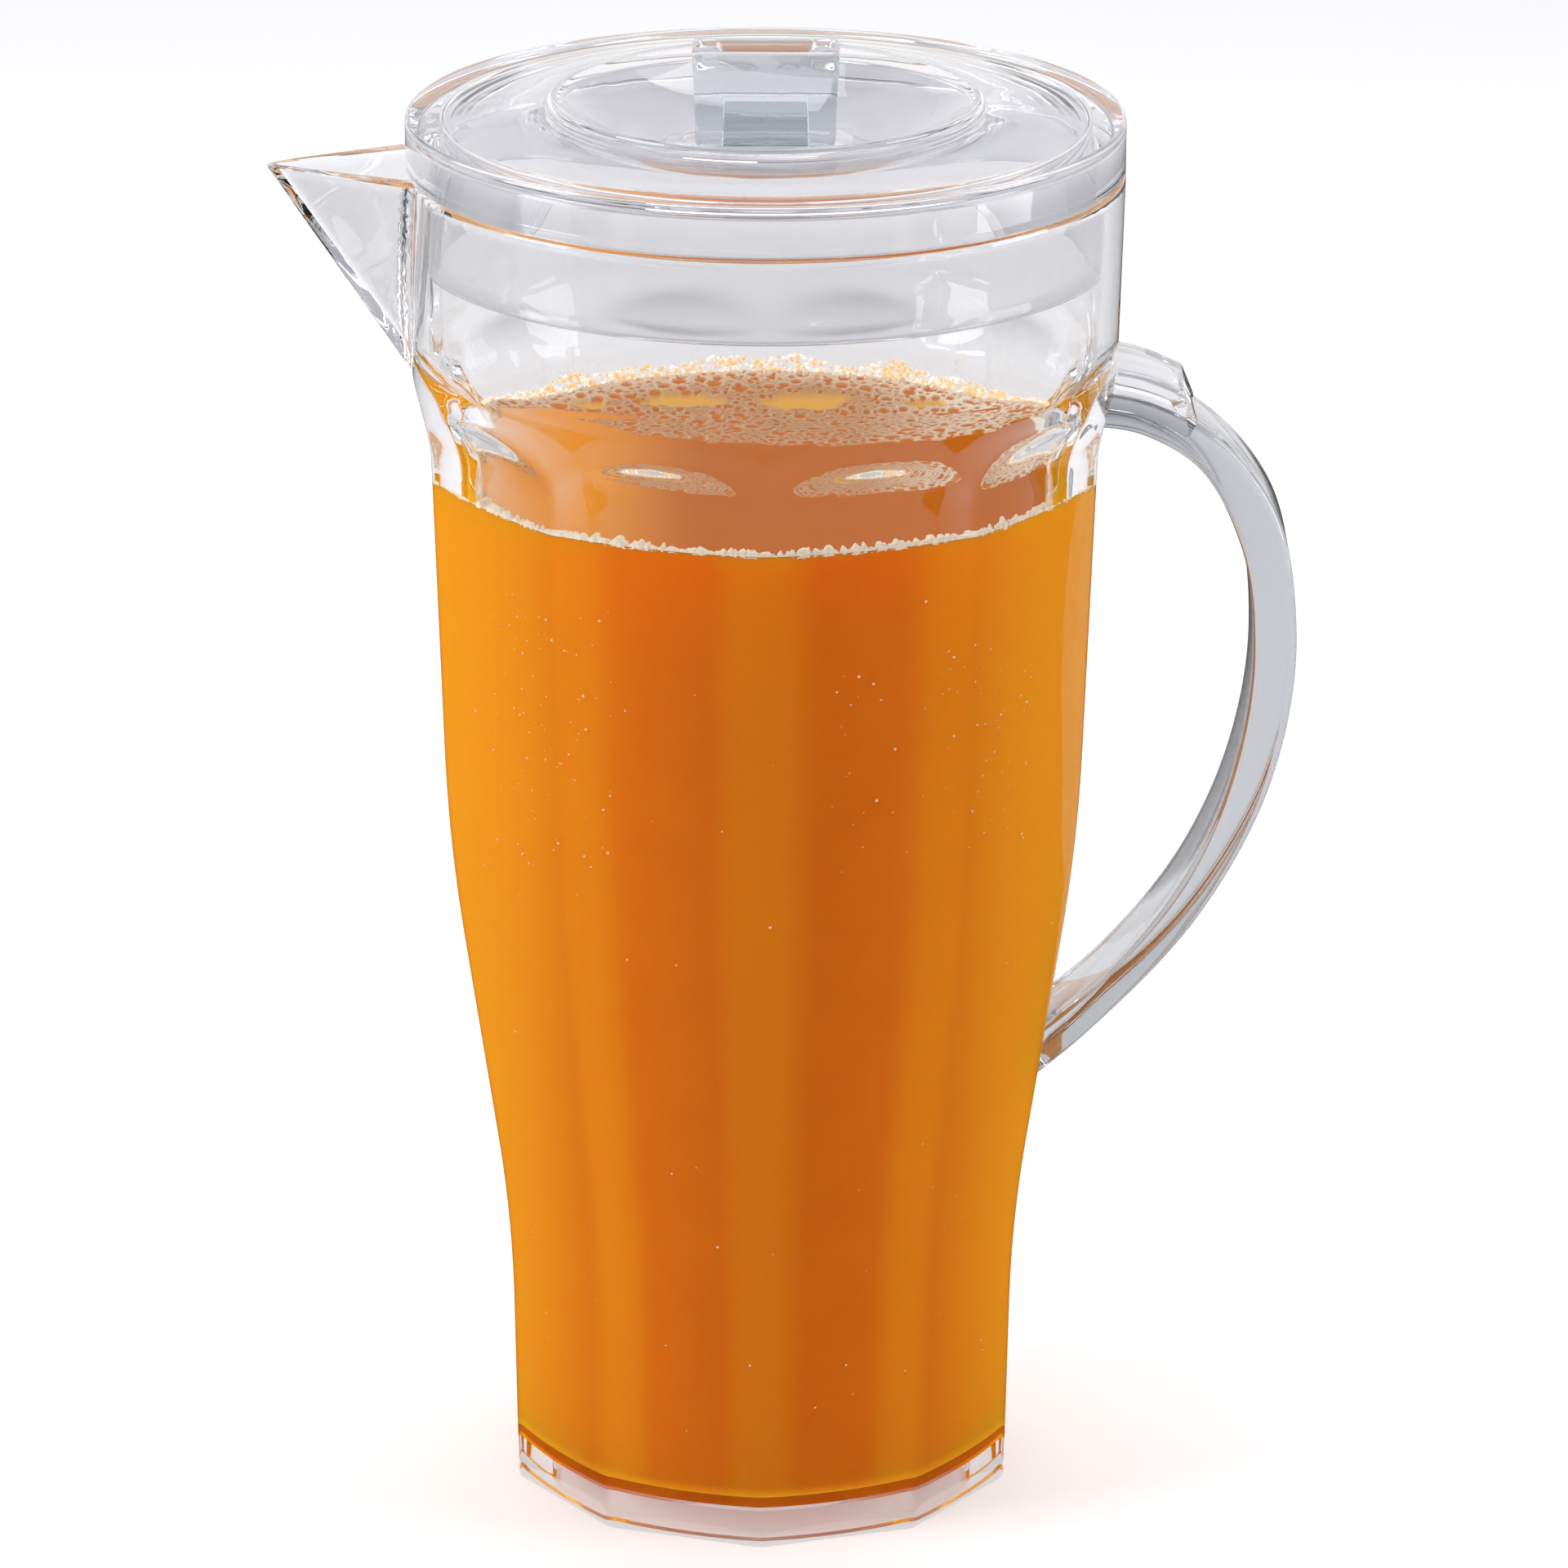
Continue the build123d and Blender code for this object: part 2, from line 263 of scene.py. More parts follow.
def along_curve(points, place):
    """Point on the smooth curve through the points; place counts points, with parts between them."""
    last = len(points) - 2
    index = min(int(place), last)
    part = place - index
    start, end = Vector(points[index]), Vector(points[index + 1])
    chord = (end - start).length

    def slope(at):
        here = Vector(points[at])
        if at == 0 or at == last + 1:
            neighbour = Vector(points[1 if at == 0 else last])
            direction = (neighbour - here) if at == 0 else (here - neighbour)
            return direction / direction.length
        back = here - Vector(points[at - 1])
        ahead = Vector(points[at + 1]) - here
        near, far = back.length, ahead.length
        return (back / near * far + ahead / far * near) / (near + far)

    square, cube = part * part, part ** 3
    return (
        start * (2 * cube - 3 * square + 1)
        + slope(index) * chord * (cube - 2 * square + part)
        + end * (3 * square - 2 * cube)
        + slope(index + 1) * chord * (cube - square)
    )


def add_object(name, shape, material):
    """Turns a bmesh into an object of the scene."""
    mesh = bpy.data.meshes.new(name)
    shape.to_mesh(mesh)
    shape.free()
    mesh.materials.append(material)
    item = bpy.data.objects.new(name, mesh)
    bpy.context.scene.collection.objects.link(item)
    return item


def finish_mesh(name, shape, material, body, sharp=35):
    """Turns the bmesh into a smooth-shaded object that rides on a body of the frame."""
    bmesh.ops.recalc_face_normals(shape, faces=shape.faces)
    piece = add_object(name, shape, material)
    for face in piece.data.polygons:
        face.use_smooth = True
    piece.data.set_sharp_from_angle(angle=radians(sharp))
    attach(piece, body)
    return piece


def skin_rings(shape, rings, around=True):
    """Lays faces between rings of equal length and returns their vertices."""
    rows = [[shape.verts.new(point) for point in ring] for ring in rings]
    count = len(rows[0])
    for low, high in zip(rows, rows[1:]):
        for index in range(count if around else count - 1):
            after = (index + 1) % count
            shape.faces.new((low[index], low[after], high[after], high[index]))
    return rows


def close_ring(shape, ring, centre):
    """Closes a ring with a fan to its centre."""
    middle = shape.verts.new(centre)
    for index, vertex in enumerate(ring):
        shape.faces.new((vertex, ring[(index + 1) % len(ring)], middle))


def closed_skin(rings, low, high):
    """Skin over the rings, closed by fans whose middles lie on the axis at two heights."""
    shape = bmesh.new()
    rows = skin_rings(shape, rings)
    close_ring(shape, rows[0], (0, 0, low))
    close_ring(shape, rows[-1], (0, 0, high))
    return shape, rows


def polar(reach, angle, height):
    return (reach * cos(angle), reach * sin(angle), height)


def replace_node(node):
    """Hides the imported solid of that name, which the piece stands in for."""
    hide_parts(node)


# Shared material helpers


def new_material(name):
    material = bpy.data.materials.new(name)
    material.use_nodes = True
    material.node_tree.nodes.clear()
    return material, material.node_tree


def plug(tree, node, name, value):
    """Links a socket to an input, or gives the input a plain value; a colour becomes opaque."""
    socket = node.inputs[name]
    if isinstance(value, bpy.types.NodeSocket):
        tree.links.new(value, socket)
    elif socket.type == "RGBA":
        socket.default_value = (*value[:3], 1.0)
    else:
        socket.default_value = value


def put(tree, kind, place, settings=None, **inputs):
    """Adds a node; its inputs take plain values or sockets of other nodes."""
    node = tree.nodes.new(kind)
    node.location = place
    for name, value in (settings or {}).items():
        setattr(node, name, value)
    for name, value in inputs.items():
        plug(tree, node, name.replace("_", " "), value)
    return node


def calc(tree, place, operation, *values, clamp=False):
    """Result of a math node on plain values or sockets."""
    node = put(tree, "ShaderNodeMath", place, {"operation": operation, "use_clamp": clamp})
    for index, value in enumerate(values):
        plug(tree, node, index, value)
    return node.outputs[0]


def blend(tree, place, factor, first, second, kind="RGBA"):
    """Result of mixing two colours, or two values."""
    node = put(tree, "ShaderNodeMix", place, {"data_type": kind}, Factor=factor, A=first, B=second)
    return node.outputs["Result"]


def across_range(tree, place, value, start, end, low, high, kind="SMOOTHSTEP"):
    """Step of a value from low at the start to high at the end, soft unless the kind says otherwise."""
    step = put(tree, "ShaderNodeMapRange", place, {"interpolation_type": kind}, Value=value,
               From_Min=start, From_Max=end, To_Min=low, To_Max=high)
    return step.outputs[0]


def new_group(name, inputs, outputs):
    """Empty shader group with inputs of these defaults and outputs of these kinds, and its input sockets."""
    tree = bpy.data.node_groups.new(name, "ShaderNodeTree")
    for title, default in inputs.items():
        kind = "NodeSocketFloat" if isinstance(default, float) else "NodeSocketColor"
        tree.interface.new_socket(name=title, in_out="INPUT", socket_type=kind).default_value = default
    for title, kind in outputs.items():
        tree.interface.new_socket(name=title, in_out="OUTPUT", socket_type=kind)
    return tree, put(tree, "NodeGroupInput", (-900, 0)).outputs


def flow_group():
    """Shader group: faint flow lines and ripples that moulding leaves in clear plastic."""
    name = "Moulding flow"
    if name in bpy.data.node_groups:
        return bpy.data.node_groups[name]
    tree, source = new_group(
        name, {"Ripple Scale": 60.0, "Upright Stretch": 0.3, "Handling Wear": 0.02},
        {"Height": "NodeSocketFloat", "Roughness": "NodeSocketFloat"},
    )
    place = put(tree, "ShaderNodeTexCoord", (-900, 300)).outputs["Object"]
    stretch = put(tree, "ShaderNodeCombineXYZ", (-700, 120), X=1.0, Y=1.0, Z=source["Upright Stretch"])
    drawn = put(tree, "ShaderNodeVectorMath", (-520, 240), {"operation": "MULTIPLY"})
    plug(tree, drawn, 0, place)
    plug(tree, drawn, 1, stretch.outputs[0])
    ripple = put(tree, "ShaderNodeTexNoise", (-320, 300), Vector=drawn.outputs[0],
                 Scale=source["Ripple Scale"], Detail=1.5)
    scuffs = put(tree, "ShaderNodeTexNoise", (-320, 0), Vector=place, Scale=420.0, Detail=4.0)
    worn = across_range(tree, (-120, 0), scuffs.outputs["Fac"], 0.5, 0.8, 0.0, 1.0, "LINEAR")
    wear = calc(tree, (80, 0), "MULTIPLY", worn, source["Handling Wear"])
    put(tree, "NodeGroupOutput", (280, 100), Height=ripple.outputs["Fac"], Roughness=wear)
    return tree


def clear_plastic(part, tint, index):
    """Glossy clear plastic that lets lamp light, and rays bent very often, straight through."""
    ripple_scale, stretch, wear, ripple_depth = plastics[part]
    material, tree = new_material("Clear " + part)
    flow = put(tree, "ShaderNodeGroup", (-700, 0), {"node_tree": flow_group()}, Ripple_Scale=ripple_scale,
               Upright_Stretch=stretch, Handling_Wear=wear)
    ripples = put(tree, "ShaderNodeBump", (-450, -150), Height=flow.outputs["Height"], Strength=0.35,
                  Distance=ripple_depth)
    surface = put(tree, "ShaderNodeBsdfPrincipled", (-200, 100), Base_Color=tint,
                  Roughness=flow.outputs["Roughness"], IOR=index, Transmission_Weight=1.0,
                  Normal=ripples.outputs["Normal"])
    passing = put(tree, "ShaderNodeBsdfTransparent", (-200, -350), Color=[0.5 + level / 2 for level in tint])
    rays = put(tree, "ShaderNodeLightPath", (-450, 450)).outputs
    unseen = calc(tree, (-200, 350), "MAXIMUM", rays["Is Shadow Ray"], rays["Is Diffuse Ray"])
    deep = calc(tree, (-200, 550), "GREATER_THAN", rays["Ray Depth"], bends_shown + 0.5)
    straight = calc(tree, (-50, 350), "MAXIMUM", unseen, deep)
    both = put(tree, "ShaderNodeMixShader", (100, 100), Fac=straight)
    plug(tree, both, 1, surface.outputs[0])
    plug(tree, both, 2, passing.outputs[0])
    put(tree, "ShaderNodeOutputMaterial", (300, 100), Surface=both.outputs[0])
    return material


def froth_group():
    """Shader group: bubbly froth, dry between the bubbles and wet inside them."""
    name = "Froth cells"
    if name in bpy.data.node_groups:
        return bpy.data.node_groups[name]
    tree, source = new_group(
        name, {"Cell Scale": 900.0, "Dry": (0.9, 0.8, 0.6, 1.0), "Wet": (0.8, 0.4, 0.1, 1.0), "Wetness": 0.0},
        {"Color": "NodeSocketColor", "Height": "NodeSocketFloat"},
    )
    place = put(tree, "ShaderNodeTexCoord", (-900, 300)).outputs["Object"]
    cells = put(tree, "ShaderNodeTexVoronoi", (-600, 200), Vector=place, Scale=source["Cell Scale"])
    patches = put(tree, "ShaderNodeTexNoise", (-600, -150), Vector=place, Scale=90.0, Detail=3.0)
    inside = across_range(tree, (-380, 200), cells.outputs["Distance"], 0.05, 0.55, 0.55, 0.0, "LINEAR")
    damp = calc(tree, (-180, 100), "MULTIPLY", inside, patches.outputs["Fac"])
    total = calc(tree, (0, 0), "ADD", damp, source["Wetness"], clamp=True)
    mixed = blend(tree, (200, 100), total, source["Dry"], source["Wet"])
    put(tree, "NodeGroupOutput", (420, 100), Color=mixed, Height=cells.outputs["Distance"])
    return tree


def froth_material(name, dry, wet, cell_scale, glow=0.0):
    """Froth of fine bubbles, dry between them and wet inside; a glow, where given, is painted light that
    makes thin froth as bright as the light behind it.
    """
    material, tree = new_material(name)
    cells = put(tree, "ShaderNodeGroup", (-500, 0), {"node_tree": froth_group()}, Cell_Scale=cell_scale,
                Dry=dry, Wet=wet)
    relief = put(tree, "ShaderNodeBump", (-280, -200), Height=cells.outputs["Height"], Strength=0.4,
                 Distance=0.0004)
    surface = put(tree, "ShaderNodeBsdfPrincipled", (-50, 0), Base_Color=cells.outputs["Color"],
                  Roughness=0.35, IOR=juice_index, Specular_IOR_Level=0.0, Normal=relief.outputs["Normal"])
    # Painted light: the froth glows in its own colour
    if glow:
        plug(tree, surface, "Emission Color", cells.outputs["Color"])
        plug(tree, surface, "Emission Strength", glow)
    put(tree, "ShaderNodeOutputMaterial", (250, 0), Surface=surface.outputs[0])
    return material


def raft_material(finishes):
    """Froth whose mesh says where it is open to the juice, where clear film lies, where it dries and where
    its rims carry painted highlights.
    """
    material = froth_material("Froth raft", finishes.froth, finishes.froth_wet, 1500.0)
    tree = material.node_tree
    cells = next(node for node in tree.nodes if node.type == "GROUP")
    surface = next(node for node in tree.nodes if node.type == "BSDF_PRINCIPLED")
    wet, film, dry = (
        put(tree, "ShaderNodeAttribute", (-1000, -200 * step), {"attribute_name": name}).outputs["Fac"]
        for step, name in enumerate(froth_layers)
    )
    plug(tree, cells, "Wetness", wet)
    # The dry layer pales the froth; at the bubbles' rims this is also a painted highlight
    plug(tree, cells, "Dry", blend(tree, (-750, 200), dry, finishes.froth, finishes.froth_line))
    cleared = blend(tree, (-280, 100), film, cells.outputs["Color"], finishes.juice_film)
    plug(tree, surface, "Base Color", cleared)
    return material


def juice_side_material(finishes):
    """Cloudy orange juice that light soaks into, with painted light: yellower behind the body's edges and at
    the sides, and a painted glow at its foot.
    """
    material, tree = new_material("Orange juice")
    place = put(tree, "ShaderNodeTexCoord", (-1100, 200)).outputs["Object"]
    pulp = put(tree, "ShaderNodeTexNoise", (-850, 200), Vector=place, Scale=70.0, Detail=4.0)
    shade = blend(tree, (-380, 100), pulp.outputs["Fac"], finishes.juice_deep, finishes.juice)
    parts = put(tree, "ShaderNodeSeparateXYZ", (-1000, -150), Vector=place).outputs
    # Painted light: a band of lighter juice behind each edge between the flats, and at both sides
    turn = calc(tree, (-850, -400), "ARCTAN2", parts["Y"], parts["X"])
    turns = calc(tree, (-700, -400), "MULTIPLY", turn, facet_count)
    wave = calc(tree, (-550, -400), "COSINE", turns)
    edge = across_range(tree, (-400, -400), wave, 0.2, -1.0, 0.0, 0.5)
    width = calc(tree, (-700, -600), "ABSOLUTE", parts["X"])
    side = across_range(tree, (-400, -600), width, 20 * mm, 46 * mm, 0.0, 1.0)
    painted_light_mask = calc(tree, (-250, -500), "MAXIMUM", edge, side)
    juice_with_painted_light = blend(tree, (-230, 100), painted_light_mask, shade, finishes.juice_edge_painted_light)
    # Painted light: the juice's lowest couple of millimetres glows in its own colour, so that its shaded foot
    # doesn't read dark
    foot = across_range(tree, (-650, -150), parts["Z"], 10.5 * mm, 9.0 * mm, 0.0, 1.0)
    glow = blend(tree, (-380, -150), foot, (0.0, 0.0, 0.0), finishes.juice)
    surface = put(tree, "ShaderNodeBsdfPrincipled", (-100, 100), Base_Color=juice_with_painted_light, Roughness=0.6,
                  IOR=juice_index, Specular_IOR_Level=0.0, Subsurface_Weight=0.8, Subsurface_Scale=0.04,
                  Subsurface_Radius=(1.0, 0.3, 0.08), Emission_Color=glow, Emission_Strength=0.2)
    put(tree, "ShaderNodeOutputMaterial", (200, 100), Surface=surface.outputs[0])
    return material


def juice_top_material(finishes):
    """Upper surface of the juice: soft swirls, with painted light that makes it lighter at the left, where
    the key light falls and thin froth drifts.
    """
    material, tree = new_material("Juice surface")
    place = put(tree, "ShaderNodeTexCoord", (-1100, 100)).outputs["Object"]
    swirl = put(tree, "ShaderNodeTexNoise", (-850, 100), Vector=place, Scale=38.0, Detail=3.0,
                Distortion=1.2).outputs["Fac"]
    parts = put(tree, "ShaderNodeSeparateXYZ", (-850, 350), Vector=place).outputs
    # Painted light: the surface is drawn lighter towards the left, where the key light falls
    painted_light_mask = across_range(tree, (-650, 450), parts["X"], -8 * mm, -36 * mm, 0.08, 1.0)
    drift = across_range(tree, (-650, 150), parts["X"], -32 * mm, -54 * mm, 0.02, 0.7)
    pale = calc(tree, (-450, 150), "MULTIPLY", drift, swirl, clamp=True)
    lit = blend(tree, (-450, 350), painted_light_mask, finishes.juice_top, finishes.juice_bright)
    shade = blend(tree, (-280, 100), pale, lit, finishes.froth_line)
    waves = put(tree, "ShaderNodeBump", (-380, -150), Height=swirl, Strength=0.3, Distance=0.0006)
    surface = put(tree, "ShaderNodeBsdfPrincipled", (-100, 100), Base_Color=shade, Roughness=0.25,
                  IOR=juice_index, Specular_IOR_Level=0.0, Normal=waves.outputs["Normal"])
    put(tree, "ShaderNodeOutputMaterial", (200, 100), Surface=surface.outputs[0])
    return material


# The body of the jug and the juice in it


def mirrored(half):
    """Offsets on both sides of zero, without the last one, which starts the next flat."""
    return [-offset for offset in half] + [0.0] + list(reversed(half[1:]))


def body_columns():
    """Angles of the mesh's columns: close together at the edges between flats, and across the spout."""
    across_flat = mirrored((18.0, 17.4, 16.8, 16.0, 15.0, 12.5, 9.0, 4.5))
    across_spout = mirrored((18.0, 17.4, 16.8, *range(16, 3, -1), 3.0, 2.3, 1.7, 1.2, 0.8, 0.4))
    columns = []
    for flat in range(facet_count):
        middle = flat * facet_step
        offsets = across_spout if abs(middle - spout_side) < half_facet else across_flat
        columns += [middle + radians(offset) for offset in offsets]
    return columns


def flat_profile(sizes):
    """Distance of a flat from the axis at any height, as a function."""
    run = rounded_run(
        (
            (sizes.foot_apothem, 0.0), (sizes.waist_apothem, sizes.waist_height),
            (sizes.shoulder_apothem, sizes.shoulder_height), (sizes.throat_apothem, sizes.throat_height),
        ),
        (sizes.waist_round, sizes.shoulder_round),
        20,
    )

    def reach(height):
        above = height - sizes.throat_height
        if above > 0:
            return sizes.throat_apothem + sizes.flare_radius - sqrt(
                max(sizes.flare_radius ** 2 - above ** 2, 0.0))
        return reach_on(run, height)

    return reach


def hollow_profile(sizes):
    """Distance of the round inside from the axis at any height, as a function."""
    wall = sizes.wall
    run = rounded_run(
        (
            (sizes.foot_apothem - wall, 0.0), (sizes.waist_apothem - wall, sizes.waist_height),
            (sizes.shoulder_apothem - wall, sizes.shoulder_height),
            (sizes.throat_apothem - wall, sizes.throat_height + sizes.throat_rise),
            (sizes.rim_radius - sizes.collar_draft - wall,
             sizes.rim_height - sizes.collar_depth + sizes.collar_rise),
            (sizes.rim_radius - wall, sizes.rim_height),
        ),
        (sizes.waist_round, sizes.shoulder_round, sizes.flare_radius, sizes.flare_radius),
        20,
    )
    return lambda height: reach_on(run, height)


def reach_on(run, height):
    """Distance from the axis where a run of points passes a height."""
    height = min(max(height, run[0].y), run[-1].y)
    for low, high in zip(run, run[1:]):
        if low.y <= height <= high.y:
            return low.x + (high.x - low.x) * (height - low.y) / max(high.y - low.y, 1e-9)
    return run[-1].x


def body_reach(sizes, flat, angle, height):
    """Axis to the body's outside, without the spout."""
    off = abs((angle + half_facet) % facet_step - half_facet)
    here = flat(height)
    facets = soft_min(here / cos(off), here / cos(facet_step - off), sizes.facet_round)
    draft = sizes.collar_draft * max((sizes.rim_height - height) / sizes.collar_depth, 0.0)
    collar = sizes.rim_radius - min(draft, sizes.collar_draft)
    return soft_min(facets, collar, sizes.arch_round)


def wedge_reach(off, rise, tips, half_widths, back, blunt):
    """Axis to a side of a wedge that grows from its foot to the rim; the pairs are foot and rim."""
    least_cosine = 0.8
    if rise < 0 or cos(off) < least_cosine:
        return 0.0
    tip = tips[0] + (tips[1] - tips[0]) * rise
    half_width = half_widths[0] + (half_widths[1] - half_widths[0]) * rise
    side = sqrt(sin(off) ** 2 + blunt ** 2) - blunt
    return tip / (cos(off) + side * (tip - back) / half_width)


def outside_reach(sizes, spout, flat, angle, height):
    """Axis to the outside, with the spout."""
    body = body_reach(sizes, flat, angle, height)
    rise = (height - sizes.rim_height + spout.depth) / spout.depth
    back = sizes.rim_radius - sizes.wall - spout.wall
    wedge = wedge_reach(
        angle - spout_side, rise, (sizes.rim_radius - spout.foot_inset, sizes.rim_radius + spout.overhang),
        (spout.foot_half_width, spout.half_width), back, spout.tip_blunt)
    return soft_max(body, wedge, spout.root_round)


def inside_reach(sizes, spout, hollow, angle, height):
    """Axis to the inside, with the spout's channel."""
    channel_back = 6 * mm
    body = hollow(height)
    rise = (height - sizes.rim_height + spout.channel_depth) / spout.channel_depth
    back = sizes.rim_radius - sizes.wall - spout.wall - channel_back
    wedge = wedge_reach(
        angle - spout_side, rise,
        (sizes.rim_radius - sizes.wall, sizes.rim_radius + spout.overhang - spout.tip_wall),
        (spout.channel_half_width, spout.half_width - spout.wall), back, spout.tip_blunt / 2)
    return soft_max(body, wedge, spout.root_round / 2)


def rows_between(low, high, gap):
    count = max(round((high - low) / gap), 1)
    return [low + (high - low) * step / count for step in range(count)]


def wall_rows(sizes, low, high):
    """Heights of the mesh's rows: wide apart on the flats, close together at the arches."""
    bend_low, arch_low = sizes.throat_height - 4 * mm, sizes.throat_height + 3 * mm
    arch_high = sizes.rim_height - sizes.collar_depth + 2 * mm
    rows = []
    for start, end, gap in (
        (low, bend_low, 4 * mm), (bend_low, arch_low, 1 * mm), (arch_low, arch_high, 0.5 * mm),
        (arch_high, high, 1.5 * mm),
    ):
        rows += rows_between(start, end, gap)
    return rows + [high]


def inside_rings(sizes, spout):
    """A function that gives rings of the inside, drawn in from the wall or to a part of it, or raised."""
    hollow = hollow_profile(sizes)
    columns = body_columns()

    def ring(height, inset=0.0, part=1.0, rise=0.0):
        return [
            polar((inside_reach(sizes, spout, hollow, angle, height) - inset) * part, angle, height + rise)
            for angle in columns
        ]

    return ring


def build_jug_shell(sizes, spout, material):
    """One skin: outside, over the rim, inside, floor, and back along the hollow of the foot."""
    flat = flat_profile(sizes)
    columns = body_columns()
    inner = inside_rings(sizes, spout)
    bevel, corner, rim, floor = sizes.edge_round, sizes.floor_round, sizes.rim_height, sizes.floor_height
    recess = sizes.foot_apothem - sizes.ring_width
    small_bevel = ((bevel, 0.0), (bevel * 0.3, bevel * 0.3))

    def outer(height, inset=0.0, drop=0.0):
        return [
            polar(outside_reach(sizes, spout, flat, angle, height) - inset, angle, height - drop)
            for angle in columns
        ]

    rings = [
        [polar(reach, angle, height) for angle in columns]
        for reach, height in (
            (recess * 0.25, sizes.recess_depth), (recess * 0.6, sizes.recess_depth),
            (recess - bevel, sizes.recess_depth), (recess, sizes.recess_depth - bevel), (recess, bevel),
            (recess + bevel, 0.0),
        )
    ]
    rings += [outer(height, inset) for inset, height in small_bevel]
    rings += [outer(height) for height in wall_rows(sizes, bevel, rim - bevel)]
    rings += [outer(rim, inset, drop) for inset, drop in reversed(small_bevel)]
    rings += [inner(rim, -inset, rise=-drop) for inset, drop in small_bevel]
    rings += [inner(height) for height in reversed(wall_rows(sizes, floor + corner, rim - bevel))]
    for step in range(1, 6):
        bend = step * pi / 10
        rings.append(inner(floor + corner * (1 - sin(bend)), corner * (1 - cos(bend))))
    rings += [inner(floor, part=part) for part in (0.7, 0.35)]
    shape, _ = closed_skin(rings, sizes.recess_depth, floor)
    piece = finish_mesh("jug_shell", shape, material, "jug")
    replace_node("jug_body")
    return piece


def build_juice(sizes, spout, juice, side, top):
    """Body of juice that fills the round inside up to its level, and climbs a little at the wall."""
    ring = inside_rings(sizes, spout)
    corner, contact = sizes.floor_round, juice.contact
    floor, climb = sizes.floor_height - contact, juice.level + juice.meniscus
    rings = [ring(floor, corner - contact, part) for part in (0.35, 0.7)]
    for step in reversed(range(6)):
        bend = step * pi / 10
        rings.append(ring(floor + corner * (1 - sin(bend)), corner * (1 - cos(bend)) - contact))
    rings += [ring(height, -contact) for height in rows_between(floor + corner, climb, 3 * mm)[1:]]
    rings.append(ring(climb, -contact))
    meniscus_start = len(rings) - 1
    for run, rise in ((0.35, 0.55), (0.8, 0.25), (1.5, 0.08), (2.6, 0.0)):
        rings.append(ring(juice.level, run * mm - contact, rise=juice.meniscus * rise))
    rings += [ring(juice.level, part=part) for part in (0.85, 0.7, 0.5, 0.25)]
    shape, rows = closed_skin(rings, floor, juice.level)
    top_vertices = {vertex for row in rows[meniscus_start:] for vertex in row}
    for face in shape.faces:
        if all(vertex in top_vertices or vertex.co.z > juice.level - mm for vertex in face.verts):
            face.material_index = 1
    piece = finish_mesh("orange_juice", shape, side, "jug")
    piece.data.materials.append(top)
    return piece


# Froth and bubbles


def unevenness(spot, layer, scale):
    """Smooth noise at a spot; each layer has a pattern of its own."""
    return noise.noise(Vector((spot.x, spot.y, layer)) * scale)


def froth_cover(spot):
    """How far a spot of the surface is under froth: above zero is covered."""
    centre, half_length, half_width, turn = Vector((11.0, 12.0)) * mm, 43 * mm, 21 * mm, radians(-9)
    back_start, back_run = 27 * mm, 9 * mm
    wall_start, wall_run, front_fade = 49.5 * mm, 6 * mm, 12 * mm
    drift = spot - centre
    along = drift.x * cos(turn) + drift.y * sin(turn)
    across = drift.y * cos(turn) - drift.x * sin(turn)
    raft = (1.0 - hypot(along / half_length, across / half_width)) * 1.4
    back = (spot.y - back_start) / back_run
    wall = (spot.length - wall_start) / wall_run - max(-spot.y / front_fade, 0.0)
    rough = unevenness(spot, 0.3, 110) * 0.3 + unevenness(spot, 3.3, 300) * 0.14
    return max(raft, back, wall) + rough


def film_cover(spot):
    """How far a spot lies in the patches of clear juice behind the raft."""
    patches = (
        (-15.0, 36.0, 9.0, 5.0), (7.5, 36.0, 9.5, 6.0), (29.0, 35.0, 5.0, 3.0), (-33.0, 33.0, 6.0, 3.0),
    )
    cover = max(
        1.0 - hypot((spot.x - x * mm) / (along * mm), (spot.y - y * mm) / (across * mm))
        for x, y, along, across in patches
    )
    rough = unevenness(spot, 7.7, 240) * 0.35
    return min(max((cover + rough) * 3.0, 0.0), 1.0)


def bucket_of(spot):
    return int(spot.x // bucket_size), int(spot.y // bucket_size)


def near_bubbles(buckets, spot):
    """Bubbles in the bucket of a spot and in the eight round it."""
    column, row = bucket_of(spot)
    return [
        bubble for step_x in (-1, 0, 1) for step_y in (-1, 0, 1)
        for bubble in buckets.get((column + step_x, row + step_y), ())
    ]


def scatter_bubbles(picker, count, low, high, edge):
    """Round spots of mixed size that hardly overlap, sorted into square buckets."""
    smallest, spread, steepness, spacing, tries, most_film = 0.5, 1.1, 2.8, 1.06, 8, 0.3
    buckets, made = {}, 0
    for _ in range(count * tries):
        spot = Vector((picker.uniform(low[0], high[0]), picker.uniform(low[1], high[1])))
        size = (smallest + spread * picker.random() ** steepness) * mm
        covered = spot.length <= edge - size and froth_cover(spot) >= 0 and film_cover(spot) <= most_film
        if made < count and covered and all(
            (spot - place).length > (size + radius) * spacing for place, radius in near_bubbles(buckets, spot)
        ):
            buckets.setdefault(bucket_of(spot), []).append((spot, size))
            made += 1
    return buckets


